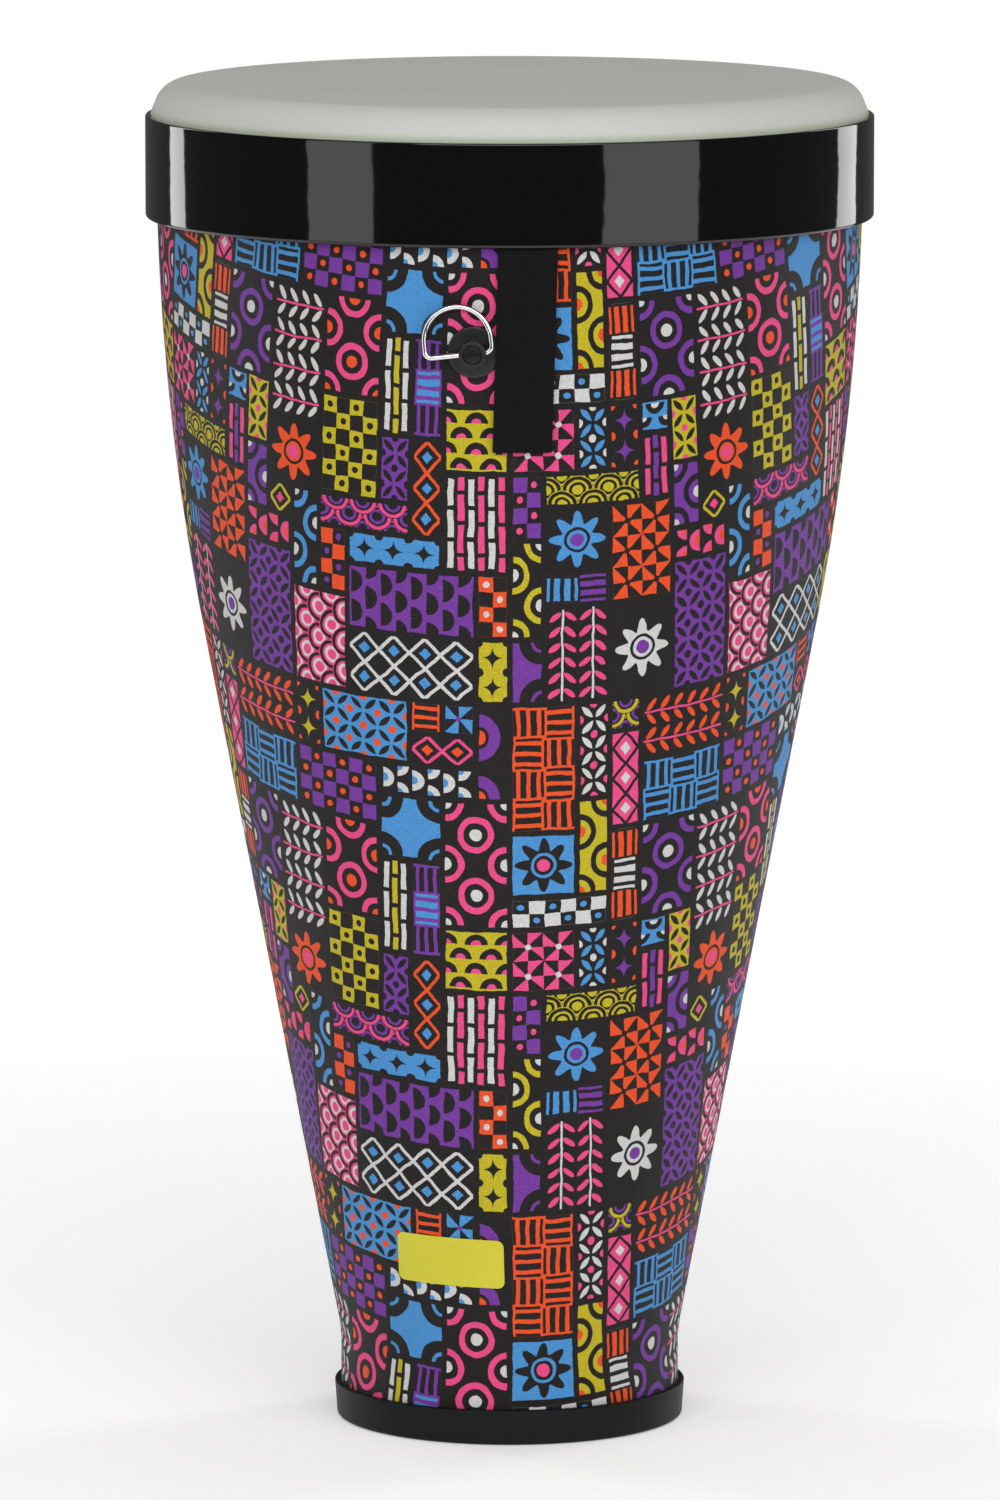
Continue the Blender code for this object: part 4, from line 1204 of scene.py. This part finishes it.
class DRUM_OT_saddle(bpy.types.Operator):
    """Make the flange, the saddle, the ring and their fixing"""

    bl_idname = "stack_drum.saddle"
    bl_label = "Ring and saddle"

    def execute(self, context):
        place = boss_matrix()
        moulding = mottled("saddle_plastic", colours().moulding)
        self.flange(moulding)
        self.saddle(place, moulding)
        self.ring(place)
        self.screw(place)
        zinc = bright_plate("zinc_steel")
        dress_node("backing_washer", zinc)
        dress_node("saddle_nut", zinc)
        return {"FINISHED"}

    def flange(self, moulding):
        """Dish that follows the covering: rings about its middle, whose lift falls off at the rim.

        On the rim the radius drops by FLANGE_RIM (1 - cos a), and the lift is FLANGE_RIM sin a.
        """
        azimuth = boss_azimuth()
        rise = math.cos(cover_slope(BOSS_HEIGHT))
        rim = np.linspace(0, math.pi / 2, 7)
        radii = np.concatenate([
            FLANGE_RADIUS - FLANGE_RIM * (1 - np.cos(rim)),
            np.linspace(FLANGE_RADIUS - FLANGE_RIM, SADDLE_RADIUS, 7)[1:],
            [SHANK_RADIUS + GAP],
        ])
        tops = np.concatenate([
            FLANGE_RIM * np.sin(rim),
            np.linspace(FLANGE_RIM, FLANGE_CROWN, 7)[1:],
            [FLANGE_CROWN],
        ])
        turns = full_turn(SMALL_FACETS)
        radii, tops = radii[:, None], tops[:, None]
        height = BOSS_HEIGHT + radii * rise * np.sin(turns)
        under = on_cover(azimuth, height, radii * np.cos(turns), GAP)
        over = on_cover(azimuth, height, radii * np.cos(turns), GAP + tops)
        piece = layered("flange_disc", under, over, loop=True)
        dress(piece, "shell", "saddle_plastic", moulding, "ring_flange")

    def saddle(self, place, moulding):
        """Boss with a recess for the screw's head and two flared holes for the ring's ends."""
        seat = SADDLE_TOP - SADDLE_RECESS
        recess = SCREW_HEAD_RADIUS + GAP
        shank = SHANK_RADIUS + GAP
        rim = corner(SADDLE_RADIUS, SADDLE_TOP, SADDLE_ROUND)
        floor = [
            (SADDLE_RADIUS, SADDLE_SEAT), (shank, SADDLE_SEAT), (shank, seat), (recess, seat),
        ]
        lip_centre = (recess + LIP_ROUND, SADDLE_TOP - LIP_ROUND)
        lip = arc(lip_centre, LIP_ROUND, math.pi, math.pi / 2, 5)
        piece = turned("saddle_boss", [rim, floor, lip], SMALL_FACETS, place)

        hole = WIRE_RADIUS + GAP
        blind = shank + PIVOT_WEB
        mouth, end = SADDLE_RADIUS - 2 * PIVOT_FLARE, SADDLE_RADIUS + hole
        flared = hole + PIVOT_FLARE * (end - mouth) / (SADDLE_RADIUS - mouth)
        profile = [(0, end), (flared, end), (hole, mouth), (hole, blind), (0, blind)]
        axis = place @ Matrix.Translation((0, 0, RING_AXIS))
        holes = []
        for side in (-1, 1):
            lay = axis @ Matrix.Rotation(side * math.pi / 2, 4, "Y")
            holes.append(turned(f"pivot_hole_{side}", [profile], HOLE_FACETS, lay))
        cut_away(piece, holes)
        dress(piece, "shell", "saddle_plastic", moulding, "ring_saddle")

    def ring(self, place):
        """Wire bent in one plane, leaning back on the covering."""
        lean = math.asin((RING_AXIS - WIRE_RADIUS - GAP) / RING_HEIGHT)
        pivot = place @ Matrix.Translation((0, 0, RING_AXIS)) @ Matrix.Rotation(-lean, 4, "X")
        path = moved(ring_path(), pivot)
        normal = np.array(pivot.to_3x3().col[2])
        piece = swept("wire_ring", path, normal, WIRE_RADIUS, WIRE_SIDES)
        dress(piece, "ring", "ring_chrome", bright_plate("ring_chrome"), "carry_ring")

    def screw(self, place):
        """Head and shank turned in one, with a slot cut across the head."""
        seat = SADDLE_TOP - SADDLE_RECESS + GAP
        top = seat + SCREW_HEAD_HEIGHT
        rim = corner(SCREW_HEAD_RADIUS, top, GAP, 4)
        shank = [
            (SCREW_HEAD_RADIUS, seat), (SHANK_RADIUS, seat), (SHANK_RADIUS, SHANK_END),
            (0, SHANK_END),
        ]
        piece = turned("slotted_screw", [[(0, top)], rim, shank], SCREW_FACETS, place)
        half = np.array([SCREW_HEAD_RADIUS + SLOT_WIDTH, SLOT_WIDTH / 2, SLOT_DEPTH])
        signs = np.array([(a, b, c) for a in (-1, 1) for b in (-1, 1) for c in (-1, 1)])
        quads = np.array([
            (0, 1, 3, 2), (4, 6, 7, 5), (0, 4, 5, 1), (2, 3, 7, 6), (0, 2, 6, 4), (1, 5, 7, 3),
        ])
        lay = place @ Matrix.Translation((0, 0, top)) @ Matrix.Rotation(SLOT_TILT, 4, "Z")
        cut_away(piece, [make_object("slot", moved(signs * half, lay), [quads])])
        steel = bright_plate("blackened_steel")
        dress(piece, "shell", "blackened_steel", steel, "saddle_screw")


class DRUM_OT_sticker(bpy.types.Operator):
    """Stick the blank label on the covering"""

    bl_idname = "stack_drum.sticker"
    bl_label = "Blank sticker"

    def execute(self, context):
        tall, wide = STICKER_TALL / 2, STICKER_WIDTH / 2
        up, widths = rounded_rows(-tall, tall, wide, STICKER_CORNER, 12)
        up, across = up[:, None], widths[:, None] * np.linspace(-1, 1, 41)
        sideways = across * math.cos(STICKER_TILT) - up * math.sin(STICKER_TILT)
        rise = across * math.sin(STICKER_TILT) + up * math.cos(STICKER_TILT)
        height = STICKER_HEIGHT + rise * math.cos(CONE_ANGLE)
        under = on_cover(STICKER_AZIMUTH, height, sideways, GAP)
        over = on_cover(STICKER_AZIMUTH, height, sideways, GAP + STICKER_THICKNESS)
        yellow = mottled("sticker_yellow", colours().sticker)
        dress(layered("label_blank", under, over), "shell", "sticker_yellow", yellow, "sticker")
        return {"FINISHED"}


class DRUM_OT_stage(bpy.types.Operator):
    """Set the floor, the lights, the surroundings and the camera"""

    bl_idname = "stack_drum.stage"
    bl_label = "Stage"

    # The four upright banks that the hoop mirrors: azimuth, half angle seen from the drum's axis,
    # and brightness, where 1 is the white of the picture
    BANKS = ((-53.0, 11.0, 1.7), (44.0, 15.5, 1.7), (-126.5, 5.3, 4.0), (130.5, 7.5, 3.4))
    BANK_REACH = 2.2
    BANK_TALL = 2.0
    BANK_MIDDLE = 1.02
    # The two lights above the camera and above the drum: place, target, width, height, brightness
    FILLS = (
        ((0.0, -3.0, 1.9), (0, 0, 0.35), 3.4, 2.0, 3.5),
        ((0.0, 0.6, 3.2), (0, 0, 0.5), 2.4, 1.6, 1.6),
    )
    FLOOR_RADIUS = 1.5
    ROOM_LEVEL = 0.1

    def execute(self, context):
        self.floor()
        self.surroundings()
        for azimuth, half_angle, level in self.BANKS:
            width = 2 * self.BANK_REACH * math.tan(math.radians(half_angle))
            place = around(self.BANK_REACH, np.radians(azimuth), self.BANK_MIDDLE)
            self.bank(place, (0, 0, self.BANK_MIDDLE), width, self.BANK_TALL, level)
        for fill in self.FILLS:
            self.bank(*fill)
        camera = bpy.data.cameras.new("photo_view")
        camera.lens = CAMERA_LENS
        camera.sensor_width = 36.0
        stand = add_object("photo_view", camera)
        stand.location = CAMERA_PLACE
        stand.rotation_euler = (math.pi / 2 - CAMERA_PITCH, 0, 0)
        bpy.context.scene.camera = stand
        bpy.context.scene.view_settings.view_transform = "Standard"
        return {"FINISHED"}

    def bank(self, place, target, width, tall, level):
        """Soft oblong light whose face is level times as bright as white."""
        light = bpy.data.lights.new("soft_bank", "AREA")
        light.shape = "RECTANGLE"
        light.size, light.size_y = width, tall
        light.energy = level * math.pi * width * tall
        holder = add_object("soft_bank", light)
        holder.location = place
        aim = Vector(target) - Vector(place)
        holder.rotation_euler = aim.to_track_quat("-Z", "Y").to_euler()

    def floor(self):
        """Round pale floor a hair under the foot, glowing with painted light that grows towards its
        rim: rings of radius r about the drum's axis.
        """
        radius = np.linspace(0.02, self.FLOOR_RADIUS, 24)[:, None]
        turns = full_turn(SMALL_FACETS)
        points = around(radius, turns, 0.0 * radius - GAP).reshape(-1, 3)
        middle = np.arange(SMALL_FACETS)[None, ::-1]
        faces = [grid_faces(len(radius), SMALL_FACETS, False, True), middle]
        piece = make_object("studio_floor", points, faces, closed=False)
        paper = Finish("studio_paper")
        x, y, _ = paper.parts(paper.coordinates)
        # Painted light: the floor glows, more towards its rim, so that it fades into the white
        # behind the drum
        glow = (x.reach(y) / self.FLOOR_RADIUS) ** 1.5
        grain = paper.noise(60.0)
        paper.shade(
            Base_Color=paper.tint(linear(250, 250, 250), 0.99 + grain * 0.02),
            Roughness=0.8,
            Emission_Color=paper.tint((1.0, 1.0, 1.0), 0.45 + glow * 0.6),
            Emission_Strength=0.6,
        )
        piece.data.materials.append(paper.material)

    def surroundings(self):
        """White behind the drum, and a dim room for what its finishes mirror."""
        world = bpy.data.worlds.new("studio_room")
        world.use_nodes = True
        bpy.context.scene.world = world
        nodes, links = world.node_tree.nodes, world.node_tree.links
        room, white = nodes["Background"], nodes.new("ShaderNodeBackground")
        for background, level in ((room, self.ROOM_LEVEL), (white, 1.0)):
            background.inputs["Color"].default_value = (1, 1, 1, 1)
            background.inputs["Strength"].default_value = level
        choice = nodes.new("ShaderNodeMixShader")
        seen = nodes.new("ShaderNodeLightPath")
        sources = (seen.outputs["Is Camera Ray"], room.outputs[0], white.outputs[0])
        for socket, source in zip(choice.inputs, sources):
            links.new(source, socket)
        links.new(choice.outputs[0], nodes["World Output"].inputs["Surface"])


OPERATORS = (
    DRUM_OT_covering,
    DRUM_OT_shell,
    DRUM_OT_foot,
    DRUM_OT_head,
    DRUM_OT_straps,
    DRUM_OT_saddle,
    DRUM_OT_sticker,
    DRUM_OT_stage,
)


class DRUM_PT_looks(bpy.types.Panel):
    """Lists the drum's pieces and the settings of their finishes"""

    bl_label = "Stack drum"
    bl_idname = "DRUM_PT_looks"
    bl_space_type = "VIEW_3D"
    bl_region_type = "UI"
    bl_category = "Drum"

    def draw(self, context):
        for operator in OPERATORS:
            self.layout.operator(operator.bl_idname)
        for group in (context.scene.stack_drum_sizes, context.scene.stack_drum_colours):
            for name in group.bl_rna.properties.keys():
                if name not in ("rna_type", "name"):
                    self.layout.prop(group, name)


CLASSES = (DrumSizes, DrumColours, *OPERATORS, DRUM_PT_looks)


def register():
    for entry in CLASSES:
        bpy.utils.register_class(entry)
    bpy.types.Scene.stack_drum_sizes = PointerProperty(type=DrumSizes)
    bpy.types.Scene.stack_drum_colours = PointerProperty(type=DrumColours)


def unregister():
    del bpy.types.Scene.stack_drum_colours
    del bpy.types.Scene.stack_drum_sizes
    for entry in reversed(CLASSES):
        bpy.utils.unregister_class(entry)


def main():
    """Builds every piece in order."""
    register()
    for operator in OPERATORS:
        getattr(bpy.ops.stack_drum, operator.bl_idname.split(".")[1])()
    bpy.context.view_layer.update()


if __name__ == "__main__":
    main()
